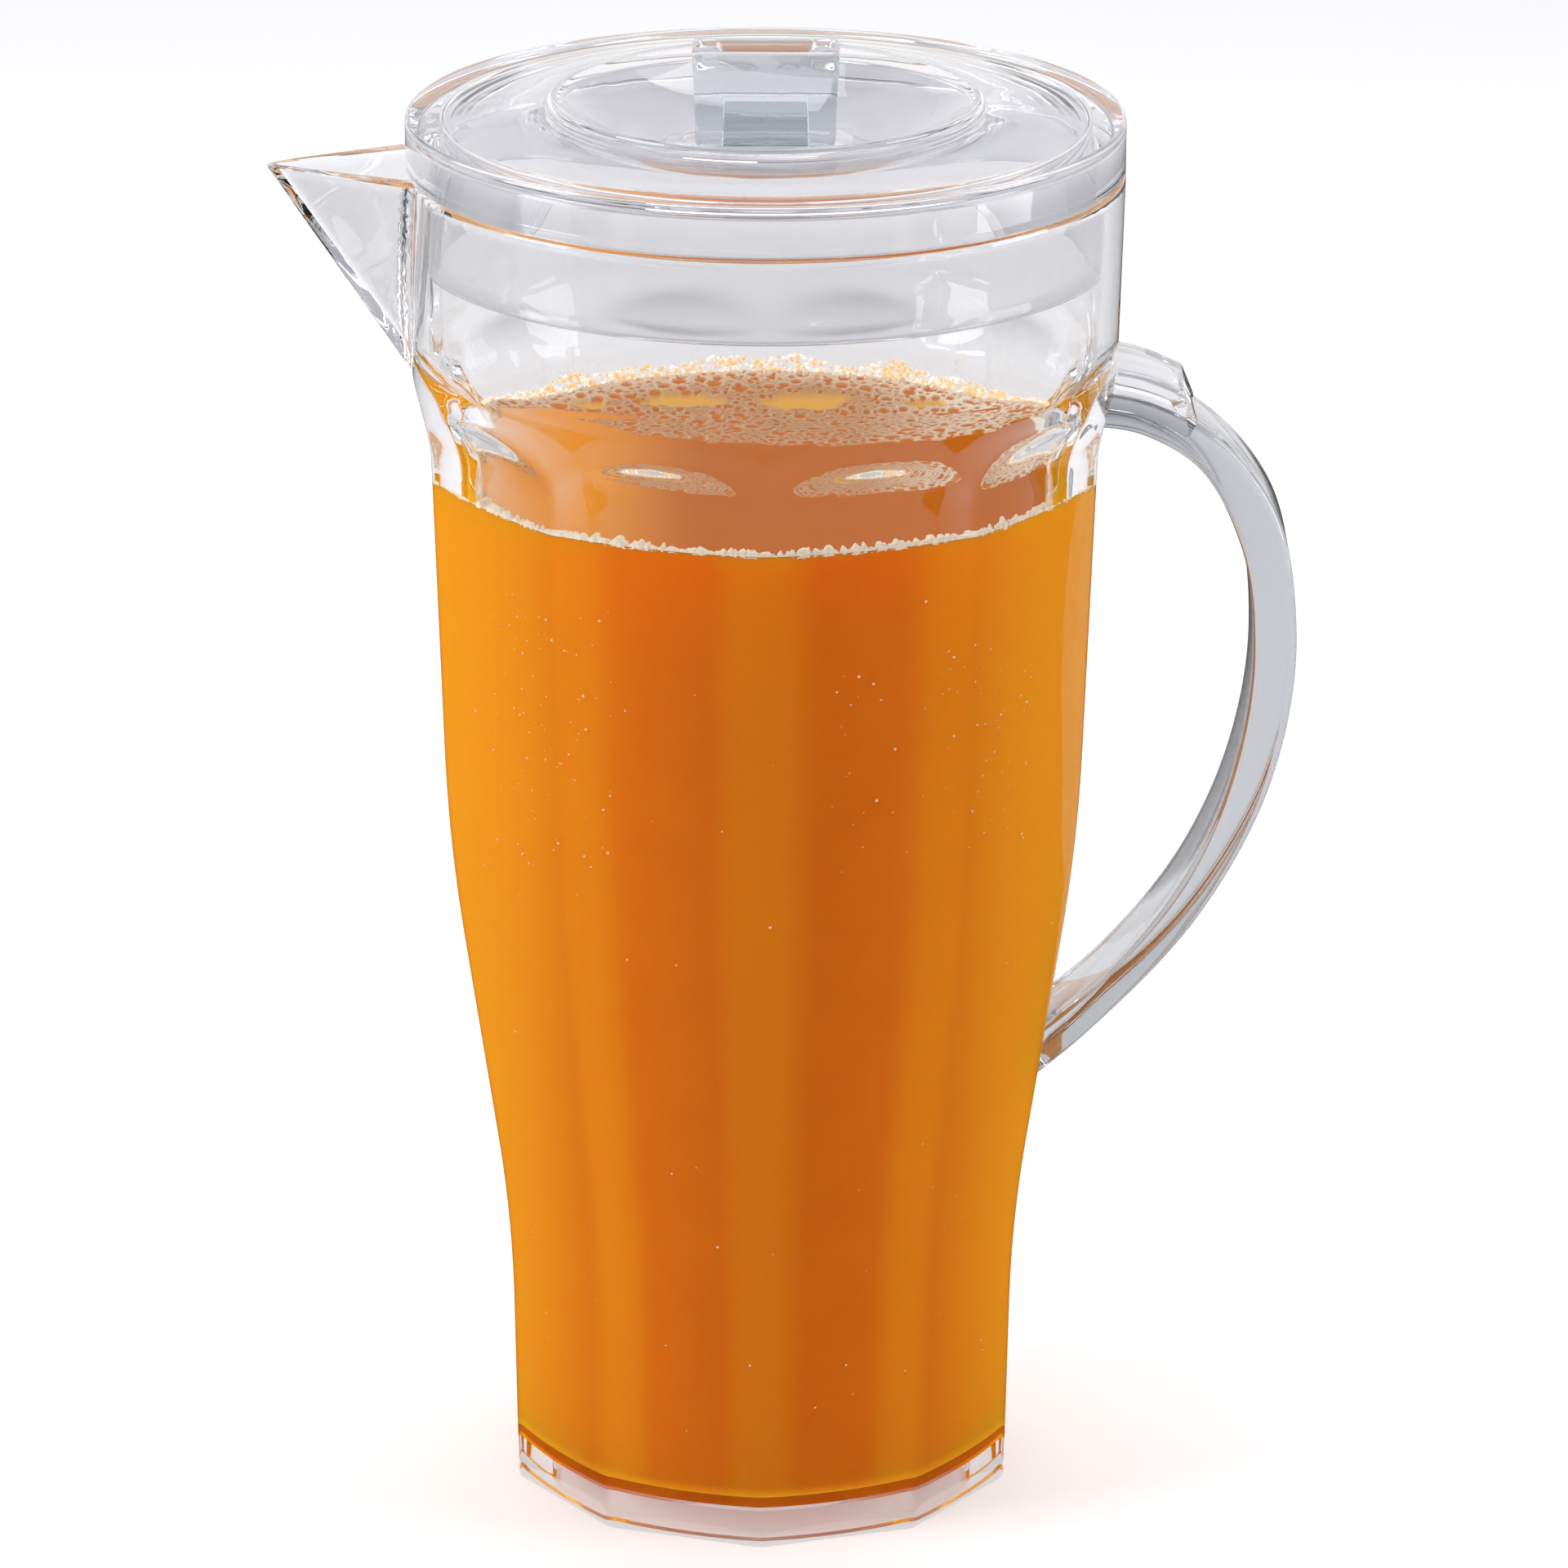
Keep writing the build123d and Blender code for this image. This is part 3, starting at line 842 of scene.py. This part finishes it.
def build_froth(sizes, juice, material):
    """Raft of froth over the middle, the back and the wall, open down to the juice in its bubbles."""
    low, high, gap, wall_gap = (-56 * mm, -16 * mm), (56 * mm, 56 * mm), 0.3 * mm, 0.2 * mm
    stretch, rim_reach, steepness, film_thinning, hole_depth, rim_lift = 1.5, 1.4, 2.4, 0.9, 0.35, 0.3
    last_cover, brim_cover, brim_run = -0.08, -0.06, 0.12
    dry_radius, dry_radius_run, dry_side, dry_side_run, dry_rim_and_highlight = 44 * mm, 16 * mm, 16 * mm, 30 * mm, 1.1
    edge = hollow_profile(sizes)(juice.level) - wall_gap
    buckets = scatter_bubbles(random.Random(7), juice.bubble_count, low, high, edge)

    def opened(spot):
        """How far a bubble is open at a spot, and the lift of the rim round it."""
        hole, rim = 0.0, 0.0
        for place, size in near_bubbles(buckets, spot):
            away = hypot(spot.x - place.x, (spot.y - place.y) / stretch) / size
            if away < 1.0:
                hole = max(hole, 1.0 - away ** 5)
            elif away < rim_reach:
                rim = max(rim, rim_reach - away)
        return hole, rim

    shape = bmesh.new()
    wet, film, dry = (shape.verts.layers.float.new(name) for name in froth_layers)
    grid = {}
    for column in range(round((high[0] - low[0]) / gap) + 1):
        for row in range(round((high[1] - low[1]) / gap) + 1):
            spot = Vector((low[0] + column * gap, low[1] + row * gap))
            cover, clear = froth_cover(spot), film_cover(spot)
            if spot.length > edge or cover < last_cover:
                continue
            hole, rim = opened(spot)
            height = min(cover * steepness, 1.0) * (1.0 - film_thinning * clear)
            raised = juice.froth_depth * (height * (1.0 - hole_depth * hole) + rim_lift * rim)
            vertex = shape.verts.new((spot.x, spot.y, juice.level + raised))
            brim = min(max(1.0 - (cover - brim_cover) / brim_run, 0.0), 1.0)
            pale = max(spot.length - dry_radius, 0.0) / dry_radius_run
            pale += max(spot.x - dry_side, 0.0) / dry_side_run
            vertex[wet] = max(hole * (1.0 - clear), brim)
            vertex[film] = clear
            # Drier froth near the wall and to the right; the rims round the bubbles are paled both as dry
            # froth and as painted highlights
            vertex[dry] = min(pale + dry_rim_and_highlight * rim, 1.0)
            grid[column, row] = vertex
    for column, row in grid:
        corners = [grid.get(place) for place in (
            (column, row), (column + 1, row), (column + 1, row + 1), (column, row + 1))]
        if all(corners):
            shape.faces.new(corners)
    return finish_mesh("froth_raft", shape, material, "jug", sharp=80)


def build_bead(sizes, spout, juice, material):
    """Uneven line of froth where the juice meets the wall."""
    hollow = hollow_profile(sizes)
    columns, around, thinnest, tallness = 900, 8, 0.28 * mm, 1.25
    rings = []
    for column in range(columns):
        angle = 2 * pi * column / columns
        spot = Vector((cos(angle), sin(angle)))
        wave, fine, fizz = unevenness(spot, 0.0, 14), unevenness(spot, 5.0, 60), unevenness(spot, 9.0, 190)
        thick = max(juice.bead * (0.8 + 0.5 * (wave + fine + fizz)), thinnest)
        reach = inside_reach(sizes, spout, hollow, angle, juice.level) - thick * 0.8
        middle = juice.level + juice.meniscus * 0.6 + 0.4 * mm * fine
        bends = [turn * 2 * pi / around for turn in range(around)]
        rings.append([
            polar(reach + thick * cos(bend), angle, middle + tallness * thick * sin(bend)) for bend in bends
        ])
    shape = bmesh.new()
    rows = skin_rings(shape, rings)
    for index in range(around):
        after = (index + 1) % around
        shape.faces.new((rows[-1][index], rows[-1][after], rows[0][after], rows[0][index]))
    return finish_mesh("froth_line", shape, material, "jug", sharp=80)


def small_ball():
    """Corners and faces of a coarse ball of radius 1."""
    shape = bmesh.new()
    bmesh.ops.create_icosphere(shape, subdivisions=1, radius=1.0)
    corners = [vertex.co.copy() for vertex in shape.verts]
    faces = [[vertex.index for vertex in face.verts] for face in shape.faces]
    shape.free()
    return corners, faces


def add_ball(shape, ball, radius, centre):
    """One bubble in a mesh of bubbles."""
    corners, faces = ball
    made = [shape.verts.new(Vector(centre) + corner * radius) for corner in corners]
    for face in faces:
        shape.faces.new([made[index] for index in face])


def build_fringe(sizes, juice, name, material, seed, count):
    """Bubbles that cling to the wall above the froth, at the back."""
    hollow = hollow_profile(sizes)
    picker = random.Random(seed)
    start, sweep, climb, smallest, spread = 8, 164, 4.2 * mm, 0.14, 0.42
    shape, ball = bmesh.new(), small_ball()
    for _ in range(count):
        angle = radians(start + sweep * picker.random())
        swell = 0.6 + 0.5 * noise.noise(Vector((angle * 5, 0.0, 1.0))) + 0.25 * sin(angle)
        height = juice.level + climb * swell * picker.random() ** 1.8
        size = (smallest + spread * picker.random() ** 2.5) * mm
        add_ball(shape, ball, size, polar(hollow(height) - size * 0.6, angle, height))
    return finish_mesh(name, shape, material, "jug", sharp=80)


def build_flecks(sizes, spout, juice, material):
    """Tiny bubbles that cling to the inside of the wall; a zone is two angles, two heights and a share."""
    hollow = hollow_profile(sizes)
    picker = random.Random(23)
    smallest, spread = 0.1, 0.2
    zones = (
        (-150, -118, 122, 176, 0.34), (-78, -32, 128, 168, 0.26), (-170, -10, 20, 180, 0.24),
        (30, 170, 30, 180, 0.16),
    )
    shape, ball = bmesh.new(), small_ball()
    for left, right, low, high, part in zones:
        for _ in range(int(juice.fleck_count * part)):
            angle = radians(picker.uniform(left, right))
            height = picker.uniform(low, high) * mm
            size = (smallest + spread * picker.random() ** 2) * mm
            reach = inside_reach(sizes, spout, hollow, angle, height) + juice.contact
            add_ball(shape, ball, size, polar(reach, angle, height))
    return finish_mesh("wall_bubbles", shape, material, "jug", sharp=80)


# Strap and saddle


def round_section(half_width, half_height, radius, steps):
    """Rounded rectangle about the origin, as pairs."""
    points = []
    for side_x, side_y, start in ((1, 1, 0), (-1, 1, 90), (-1, -1, 180), (1, -1, 270)):
        for step in range(steps + 1):
            bend = radians(start + 90 * step / steps)
            points.append((
                side_x * (half_width - radius) + radius * cos(bend),
                side_y * (half_height - radius) + radius * sin(bend),
            ))
    return points


def where_leaves(points, flat, collar, gap, first, last):
    """Place on a strap curve where it leaves the wall, found by halving."""
    inside, outside = first, last
    for _ in range(40):
        middle = (inside + outside) / 2
        spot = along_curve(points, middle) * mm
        if spot.x < min(flat(spot.y), collar) + gap:
            inside = middle
        else:
            outside = middle
    return outside


def build_strap(sizes, straps, material):
    """Strap lofted between its two curves, cut to the flat it is glued on."""
    flat = flat_profile(sizes)
    collar = sizes.rim_radius - sizes.collar_draft
    last = len(strap_outer) - 1
    ends = []
    for points in (strap_outer, strap_inner):
        top = where_leaves(points, flat, collar, straps.glue_gap, 0, 2)
        foot = where_leaves(points, flat, collar, straps.glue_gap, last, last - 2)
        ends.append((top, foot))
    stations = 96
    rings = []
    for station in range(stations + 1):
        part = station / stations
        outer, inner = (
            along_curve(points, top + (foot - top) * part) * mm
            for points, (top, foot) in zip((strap_outer, strap_inner), ends)
        )
        middle, half = (outer + inner) / 2, (outer - inner) / 2
        section = round_section(straps.width / 2, half.length, straps.edge_round, 5)
        direction = half.normalized()
        ring = []
        for across, through in section:
            spot = middle + direction * through
            ring.append((spot.x, across, spot.y))
        rings.append(ring)
    shape = bmesh.new()
    rows = skin_rings(shape, rings)
    for row in (rows[0], rows[-1]):
        shape.faces.new(row)
    piece = finish_mesh("strap_handle", shape, material, "jug", sharp=40)
    replace_node("handle")
    return piece


def build_saddle(sizes, straps, material):
    """Roof with two lips that holds the strap's upper end to the collar."""
    flat = flat_profile(sizes)
    collar = sizes.rim_radius - sizes.collar_draft
    seam, stations, play, sunk, lip_turn = 2, 20, 0.08 * mm, -0.6 * mm, radians(235)
    curve = [Vector(point) for point in strap_outer]
    over, under = Vector((0, straps.saddle_roof / mm)), Vector((0, straps.saddle_cover / mm))
    nose = Vector((-straps.nose_run / mm, straps.nose_rise / mm))
    lip = Vector((cos(lip_turn), sin(lip_turn))) * straps.saddle_cover / mm
    curves = (
        (curve[0] + over, curve[1] + over, curve[seam] + nose),
        curve,
        (curve[0] - under, curve[1] - under, curve[seam] + lip),
    )
    starts = [where_leaves(points, flat, collar, sunk, 0, seam) for points in curves]
    inside = straps.width / 2 + play
    outside = inside + straps.saddle_side
    rings = []
    for station in range(stations + 1):
        part = station / stations
        top, roof, low = (
            along_curve(points, start + (seam - start) * part) * mm for points, start in zip(curves, starts)
        )
        roof = roof + Vector((0, play))
        rings.append([
            (spot.x, across, spot.y) for spot, across in (
                (low, -outside), (top, -outside), (top, outside), (low, outside),
                (low, inside), (roof, inside), (roof, -inside), (low, -inside),
            )
        ])
    shape = bmesh.new()
    rows = skin_rings(shape, rings)
    for row in (rows[0], rows[-1]):
        for corners in ((0, 1, 6, 7), (1, 2, 5, 6), (2, 3, 4, 5)):
            shape.faces.new([row[corner] for corner in corners])
    bmesh.ops.recalc_face_normals(shape, faces=shape.faces)
    edges = [
        edge for edge in shape.edges if len(edge.link_faces) == 2 and edge.calc_face_angle() > radians(40)
    ]
    bmesh.ops.bevel(shape, geom=edges, offset=straps.saddle_edge / 2, segments=2, profile=0.5,
                    affect="EDGES")
    return finish_mesh("handle_saddle", shape, material, "jug", sharp=40)


# Lid and grip


def lid_columns(sizes, radius):
    """Angles of the lid's columns, with one at each side of every strainer slot."""
    pitch, half_slot, steps = sizes.slot_pitch, sizes.slot_width / 2, 142
    across = (half_slot, pitch - half_slot, pitch + half_slot, pitch, pitch / 2)
    offsets = sorted([0.0, 11.5, 14.5, 17.5] + [degrees(asin(reach / radius)) for reach in across])
    near = [-offset for offset in reversed(offsets[1:])] + offsets
    far = [20 + (320 * step) / steps for step in range(steps + 1)]
    return [pi + radians(offset) for offset in near + far]


def build_lid(sizes, material):
    """Lid turned from one section, with the strainer slots cut through its skirt."""
    corners = [(reach * mm, height * mm) for reach, height, _ in lid_section]
    radii = [radius * mm for _, _, radius in lid_section[1:-1]]
    large_radius, skirt_inside, skirt_middle, near_enough = 5 * mm, 50 * mm, 58 * mm, 0.01 * mm
    run = []
    for before, here, after, radius in zip(corners, corners[1:], corners[2:], radii):
        steps = 14 if radius > large_radius else 4
        run += rounded_run((before, here, after), (radius,), steps)[1:-1]
    skirt = corners[slot_corner][0]
    columns = lid_columns(sizes, skirt)
    rings = [[polar(point.x, angle, point.y) for angle in columns] for point in run]
    shape, rows = closed_skin(rings, corners[0][1], corners[-1][1])

    def row_at(height, outer):
        """Row of the skirt's outside or inside at a height."""
        return next(
            row for row, point in zip(rows, run)
            if abs(point.y - height) < near_enough and point.x > skirt_inside
            and (point.x > skirt_middle) == outer
        )

    out_top, out_low = row_at(sizes.slot_top, True), row_at(sizes.slot_foot, True)
    in_top, in_low = row_at(sizes.slot_top, False), row_at(sizes.slot_foot, False)
    for slot in (-1, 0, 1):
        left, right = (
            asin((slot * sizes.slot_pitch + side * sizes.slot_width / 2) / skirt) for side in (-1, 1)
        )
        inside = [
            index for index, angle in enumerate(columns) if left - 0.001 <= angle - pi <= right + 0.001
        ]
        for here in inside[:-1]:
            after = here + 1
            for upper, lower in ((out_top, out_low), (in_top, in_low)):
                corner_set = {upper[here], upper[after], lower[here], lower[after]}
                for face in list(upper[here].link_faces):
                    if set(face.verts) == corner_set:
                        shape.faces.remove(face)
            shape.faces.new((out_top[here], out_top[after], in_top[after], in_top[here]))
            shape.faces.new((out_low[after], out_low[here], in_low[here], in_low[after]))
        for side in (inside[0], inside[-1]):
            shape.faces.new((out_top[side], in_top[side], in_low[side], out_low[side]))
    piece = finish_mesh("plug_lid", shape, material, "lid", sharp=40)
    replace_node("lid")
    return piece


def build_grip(sizes, material):
    """Grip that widens upwards, with a hollow from below."""
    foot = lid_section[0][1] * mm + 0.05 * mm
    top = lid_section[0][1] * mm + sizes.grip_height
    roof, height = foot + sizes.core_height, top - foot
    core, grip = (sizes.core_length, sizes.core_width), (sizes.grip_length, sizes.grip_width)
    core_slope, core_round, foot_bevel = 0.3 * mm, 0.3 * mm, 0.2 * mm
    grip_round, top_round = sizes.grip_round, sizes.grip_round * 0.6

    def ring(size, grown, radius, level, part=1.0):
        """Rounded rectangle at a level, grown all round, then scaled."""
        half_length, half_width = ((side / 2 + grown) * part for side in size)
        return [(x, y, level) for x, y in round_section(half_length, half_width, radius * part, 4)]

    rings = [ring(core, -core_slope, 0.25 * mm, roof, part) for part in (0.35, 1.0)]
    rings.append(ring(core, -core_slope * 0.9, core_round, roof - 0.15 * mm))
    rings.append(ring(core, 0.0, core_round, foot))
    rings.append(ring(grip, -foot_bevel, grip_round, foot))
    rings.append(ring(grip, 0.0, grip_round, foot + foot_bevel))
    for part in (0.25, 0.5, 0.75):
        rings.append(ring(grip, sizes.grip_flare * part, grip_round, foot + height * part))
    for step in range(5):
        bend = step * pi / 8
        inset = top_round * (1 - cos(bend))
        level = top - top_round * (1 - sin(bend))
        rings.append(ring(grip, sizes.grip_flare - inset, grip_round - inset * 0.4, level))
    rings.append(ring(grip, 0.0, grip_round * 0.8, top, 0.5))
    shape, _ = closed_skin(rings, roof, top)
    piece = finish_mesh("lid_grip", shape, material, "lid", sharp=40)
    replace_node("lid_knob")
    return piece


# Stage


def seen_rays(tree, place):
    """One for rays that carry what the camera, a reflection or clear plastic sees."""
    rays = put(tree, "ShaderNodeLightPath", place).outputs
    total = rays["Is Camera Ray"]
    for step, name in enumerate(("Is Glossy Ray", "Is Transmission Ray")):
        total = calc(tree, (place[0] + 200 * (step + 1), place[1]), "MAXIMUM", total, rays[name])
    return total


def build_floor(stage, finishes):
    """Pale floor that reads white where no shadow falls on it."""
    material, tree = new_material("Studio floor")
    place = put(tree, "ShaderNodeTexCoord", (-900, 0)).outputs["Object"]
    grain = put(tree, "ShaderNodeTexNoise", (-700, 0), Vector=place, Scale=12.0, Detail=2.0)
    lighter = [min(part * 1.01, 1.0) for part in finishes.floor]
    shade = blend(tree, (-450, 0), grain.outputs["Fac"], finishes.floor, lighter)
    glow = calc(tree, (-200, 300), "MULTIPLY", seen_rays(tree, (-900, 400)), stage.floor_glow)
    surface = put(tree, "ShaderNodeBsdfPrincipled", (0, 0), Base_Color=shade, Roughness=0.9,
                  Specular_IOR_Level=0.0, Emission_Color=(1.0, 1.0, 1.0), Emission_Strength=glow)
    put(tree, "ShaderNodeOutputMaterial", (300, 0), Surface=surface.outputs[0])
    shape = bmesh.new()
    bmesh.ops.create_circle(shape, cap_ends=True, segments=96, radius=6.0)
    floor = add_object("studio_floor", shape, material)


def build_dark_card():
    """Dark card round the jug, thinner outwards, that only reflections see, so they don't veil the juice."""
    inner, fading, outer, segments, lift = 0.048, 0.8, 1.5, 96, 0.5 * mm
    material, tree = new_material("Dark card")
    paper = put(tree, "ShaderNodeTexNoise", (-500, 0), Scale=300.0)
    shade = blend(tree, (-250, 0), paper.outputs["Fac"], (0.015, 0.015, 0.015), (0.022, 0.022, 0.022))
    place = put(tree, "ShaderNodeTexCoord", (-900, -300)).outputs["Object"]
    away = put(tree, "ShaderNodeVectorMath", (-700, -300), {"operation": "LENGTH"})
    plug(tree, away, 0, place)
    dense = across_range(tree, (-500, -300), away.outputs["Value"], fading, outer, 1.0, 0.0)
    surface = put(tree, "ShaderNodeBsdfPrincipled", (0, 0), Base_Color=shade, Roughness=0.9,
                  Specular_IOR_Level=0.0, Alpha=dense)
    put(tree, "ShaderNodeOutputMaterial", (300, 0), Surface=surface.outputs[0])
    shape = bmesh.new()
    skin_rings(shape, [
        [polar(reach, 2 * pi * step / segments, lift) for step in range(segments)] for reach in (inner, outer)
    ])
    card = add_object("dark_card", shape, material)
    card.visible_camera = False
    card.visible_diffuse = False
    card.visible_transmission = False
    card.visible_shadow = False


def build_room(stage):
    """Even light; plastic also shows it white behind the jug, greyer in front and dark right overhead."""
    world = bpy.data.worlds.new("Studio room")
    bpy.context.scene.world = world
    world.use_nodes = True
    tree = world.node_tree
    tree.nodes.clear()
    seen = seen_rays(tree, (-900, 400))
    place = put(tree, "ShaderNodeTexCoord", (-900, 0)).outputs["Generated"]
    parts = put(tree, "ShaderNodeSeparateXYZ", (-700, 0), Vector=place).outputs
    shown = across_range(tree, (-500, 0), parts["Z"], 0.15, 0.6, 1.0, 0.7)
    for height, axis, start, end, low, high in (
        (250, "Y", -0.9, -0.6, 0.55, 1.0), (500, "Z", 0.72, 0.86, 1.0, 0.3),
    ):
        flag = across_range(tree, (-500, height), parts[axis], start, end, low, high)
        shown = calc(tree, (-350, height), "MULTIPLY", shown, flag)
    power = blend(tree, (-200, 200), seen, stage.room_light, shown, "FLOAT")
    overhead = across_range(tree, (-500, -250), parts["Z"], 0.0, 0.5, 0.0, 1.0, "LINEAR")
    sky = blend(tree, (-200, -100), overhead, (1.0, 1.0, 1.0), (0.92, 0.925, 1.0))
    light = put(tree, "ShaderNodeBackground", (50, 100), Color=sky, Strength=power)
    put(tree, "ShaderNodeOutputWorld", (250, 100), Surface=light.outputs[0])


def add_lamp(name, place, aim, size, power):
    lamp = bpy.data.lights.new(name, "AREA")
    lamp.shape = "RECTANGLE"
    lamp.size, lamp.size_y = size
    lamp.energy = power
    holder = bpy.data.objects.new(name, lamp)
    holder.location = place
    holder.rotation_euler = (Vector(aim) - Vector(place)).to_track_quat("-Z", "Y").to_euler()
    bpy.context.scene.collection.objects.link(holder)


def build_lights(stage):
    """Three soft boxes: left, right and overhead."""
    middle = (0.0, 0.0, 0.13)
    add_lamp("key_softbox", (-1.35, -0.35, 0.75), middle, (0.7, 1.1), stage.key_power)
    add_lamp("fill_softbox", (1.35, -0.1, 0.6), middle, (0.6, 1.0), stage.fill_power)
    add_lamp("top_softbox", (0.1, 0.35, 1.5), middle, (1.0, 0.8), stage.top_power)


def build_camera(scene):
    """Camera at the viewing angle that was worked out from the jug's own circles and heights."""
    focal_pixels, image_width, sensor = 10351.55, 1920, 36.0
    pitch, roll = 18.933, 0.229
    camera = bpy.data.cameras.new("view")
    camera.sensor_fit = "HORIZONTAL"
    camera.sensor_width = sensor
    camera.lens = focal_pixels * sensor / image_width
    camera.clip_end = 50.0
    holder = bpy.data.objects.new("view", camera)
    holder.location = (0.0036157, -1.418266, 0.613921)
    holder.rotation_euler = (radians(90 - pitch), 0.0, 0.0)
    scene.collection.objects.link(holder)
    bpy.context.view_layer.update()
    holder.rotation_euler.rotate_axis("Z", radians(roll))
    scene.camera = holder


# Operators


class JUICEJUG_OT_jug_shell(bpy.types.Operator):
    """Builds the faceted body with its spout and the saddle for the strap"""
    bl_idname = "juicejug.jug_shell"
    bl_label = "Jug body"

    def execute(self, context):
        scene = context.scene
        finishes = scene.juicejug_finishes
        body = clear_plastic("body", finishes.body_plastic, finishes.plastic_index)
        build_jug_shell(scene.juicejug_body, scene.juicejug_spout, body)
        build_saddle(scene.juicejug_body, scene.juicejug_strap, body)
        return {"FINISHED"}


class JUICEJUG_OT_strap(bpy.types.Operator):
    """Builds the strap handle"""
    bl_idname = "juicejug.strap"
    bl_label = "Strap handle"

    def execute(self, context):
        scene = context.scene
        finishes = scene.juicejug_finishes
        clear = clear_plastic("strap", finishes.strap_plastic, finishes.plastic_index)
        build_strap(scene.juicejug_body, scene.juicejug_strap, clear)
        return {"FINISHED"}


class JUICEJUG_OT_lid(bpy.types.Operator):
    """Builds the lid and its grip"""
    bl_idname = "juicejug.lid"
    bl_label = "Lid and grip"

    def execute(self, context):
        scene = context.scene
        finishes = scene.juicejug_finishes
        clear = clear_plastic("lid", finishes.lid_plastic, finishes.plastic_index)
        grip = clear_plastic("grip", finishes.grip_plastic, finishes.plastic_index)
        build_lid(scene.juicejug_lid, clear)
        build_grip(scene.juicejug_lid, grip)
        return {"FINISHED"}


class JUICEJUG_OT_juice(bpy.types.Operator):
    """Fills the jug with juice"""
    bl_idname = "juicejug.juice"
    bl_label = "Juice"

    def execute(self, context):
        scene = context.scene
        finishes = scene.juicejug_finishes
        build_juice(scene.juicejug_body, scene.juicejug_spout, scene.juicejug_juice,
                    juice_side_material(finishes), juice_top_material(finishes))
        return {"FINISHED"}


class JUICEJUG_OT_froth(bpy.types.Operator):
    """Adds the froth on the juice and the bubbles at the wall"""
    bl_idname = "juicejug.froth"
    bl_label = "Froth and bubbles"

    def execute(self, context):
        scene = context.scene
        finishes = scene.juicejug_finishes
        body, spout, juice = scene.juicejug_body, scene.juicejug_spout, scene.juicejug_juice
        bead = froth_material("Froth line", finishes.froth_line, finishes.froth, 1800.0)
        # Painted light: the film and sparkling bubbles glow, standing in for the light that shines through
        # and off real bubbles
        film = froth_material("Froth film", finishes.film_bubble, finishes.froth_line, 700.0, glow=0.45)
        sparkle = froth_material("Sparkling bubbles", finishes.sparkle, finishes.froth_line, 500.0, glow=0.4)
        build_froth(body, juice, raft_material(finishes))
        build_bead(body, spout, juice, bead)
        build_fringe(body, juice, "froth_fringe", sparkle, 41, 1700)
        build_fringe(body, juice, "film_fringe", film, 43, 1900)
        build_flecks(body, spout, juice, bead)
        return {"FINISHED"}


class JUICEJUG_OT_stage(bpy.types.Operator):
    """Sets up the floor, the lights, the room and the camera"""
    bl_idname = "juicejug.stage"
    bl_label = "Stage"

    def execute(self, context):
        scene = context.scene
        build_floor(scene.juicejug_stage, scene.juicejug_finishes)
        build_dark_card()
        build_room(scene.juicejug_stage)
        build_lights(scene.juicejug_stage)
        build_camera(scene)
        scene.view_settings.view_transform = "Standard"
        scene.cycles.max_bounces = 28
        scene.cycles.transmission_bounces = 24
        scene.cycles.glossy_bounces = 12
        return {"FINISHED"}


class JUICEJUG_PT_panel(bpy.types.Panel):
    """Lists the jug's operators and sizes"""
    bl_label = "Juice jug"
    bl_idname = "JUICEJUG_PT_panel"
    bl_space_type = "VIEW_3D"
    bl_region_type = "UI"
    bl_category = "Juice jug"

    def draw(self, context):
        layout = self.layout
        for operator in build_operators:
            layout.operator(operator.bl_idname)
        for name in settings_groups:
            group = getattr(context.scene, name)
            box = layout.box()
            for item in group.__annotations__:
                box.prop(group, item)


build_operators = (
    JUICEJUG_OT_jug_shell, JUICEJUG_OT_strap, JUICEJUG_OT_lid, JUICEJUG_OT_juice, JUICEJUG_OT_froth,
    JUICEJUG_OT_stage,
)
settings_groups = {
    "juicejug_body": JugSizes, "juicejug_spout": SpoutSizes, "juicejug_strap": StrapSizes,
    "juicejug_lid": LidSizes, "juicejug_juice": JuiceSizes, "juicejug_finishes": Finishes,
    "juicejug_stage": StageSettings,
}
add_on_classes = (*settings_groups.values(), *build_operators, JUICEJUG_PT_panel)


def register():
    for kind in add_on_classes:
        bpy.utils.register_class(kind)
    for name, kind in settings_groups.items():
        setattr(bpy.types.Scene, name, PointerProperty(type=kind))


def unregister():
    for name in settings_groups:
        delattr(bpy.types.Scene, name)
    for kind in reversed(add_on_classes):
        bpy.utils.unregister_class(kind)


def main():
    register()
    bpy.ops.juicejug.jug_shell()
    bpy.ops.juicejug.strap()
    bpy.ops.juicejug.lid()
    bpy.ops.juicejug.juice()
    bpy.ops.juicejug.froth()
    bpy.ops.juicejug.stage()


if __name__ == "__main__":
    main()
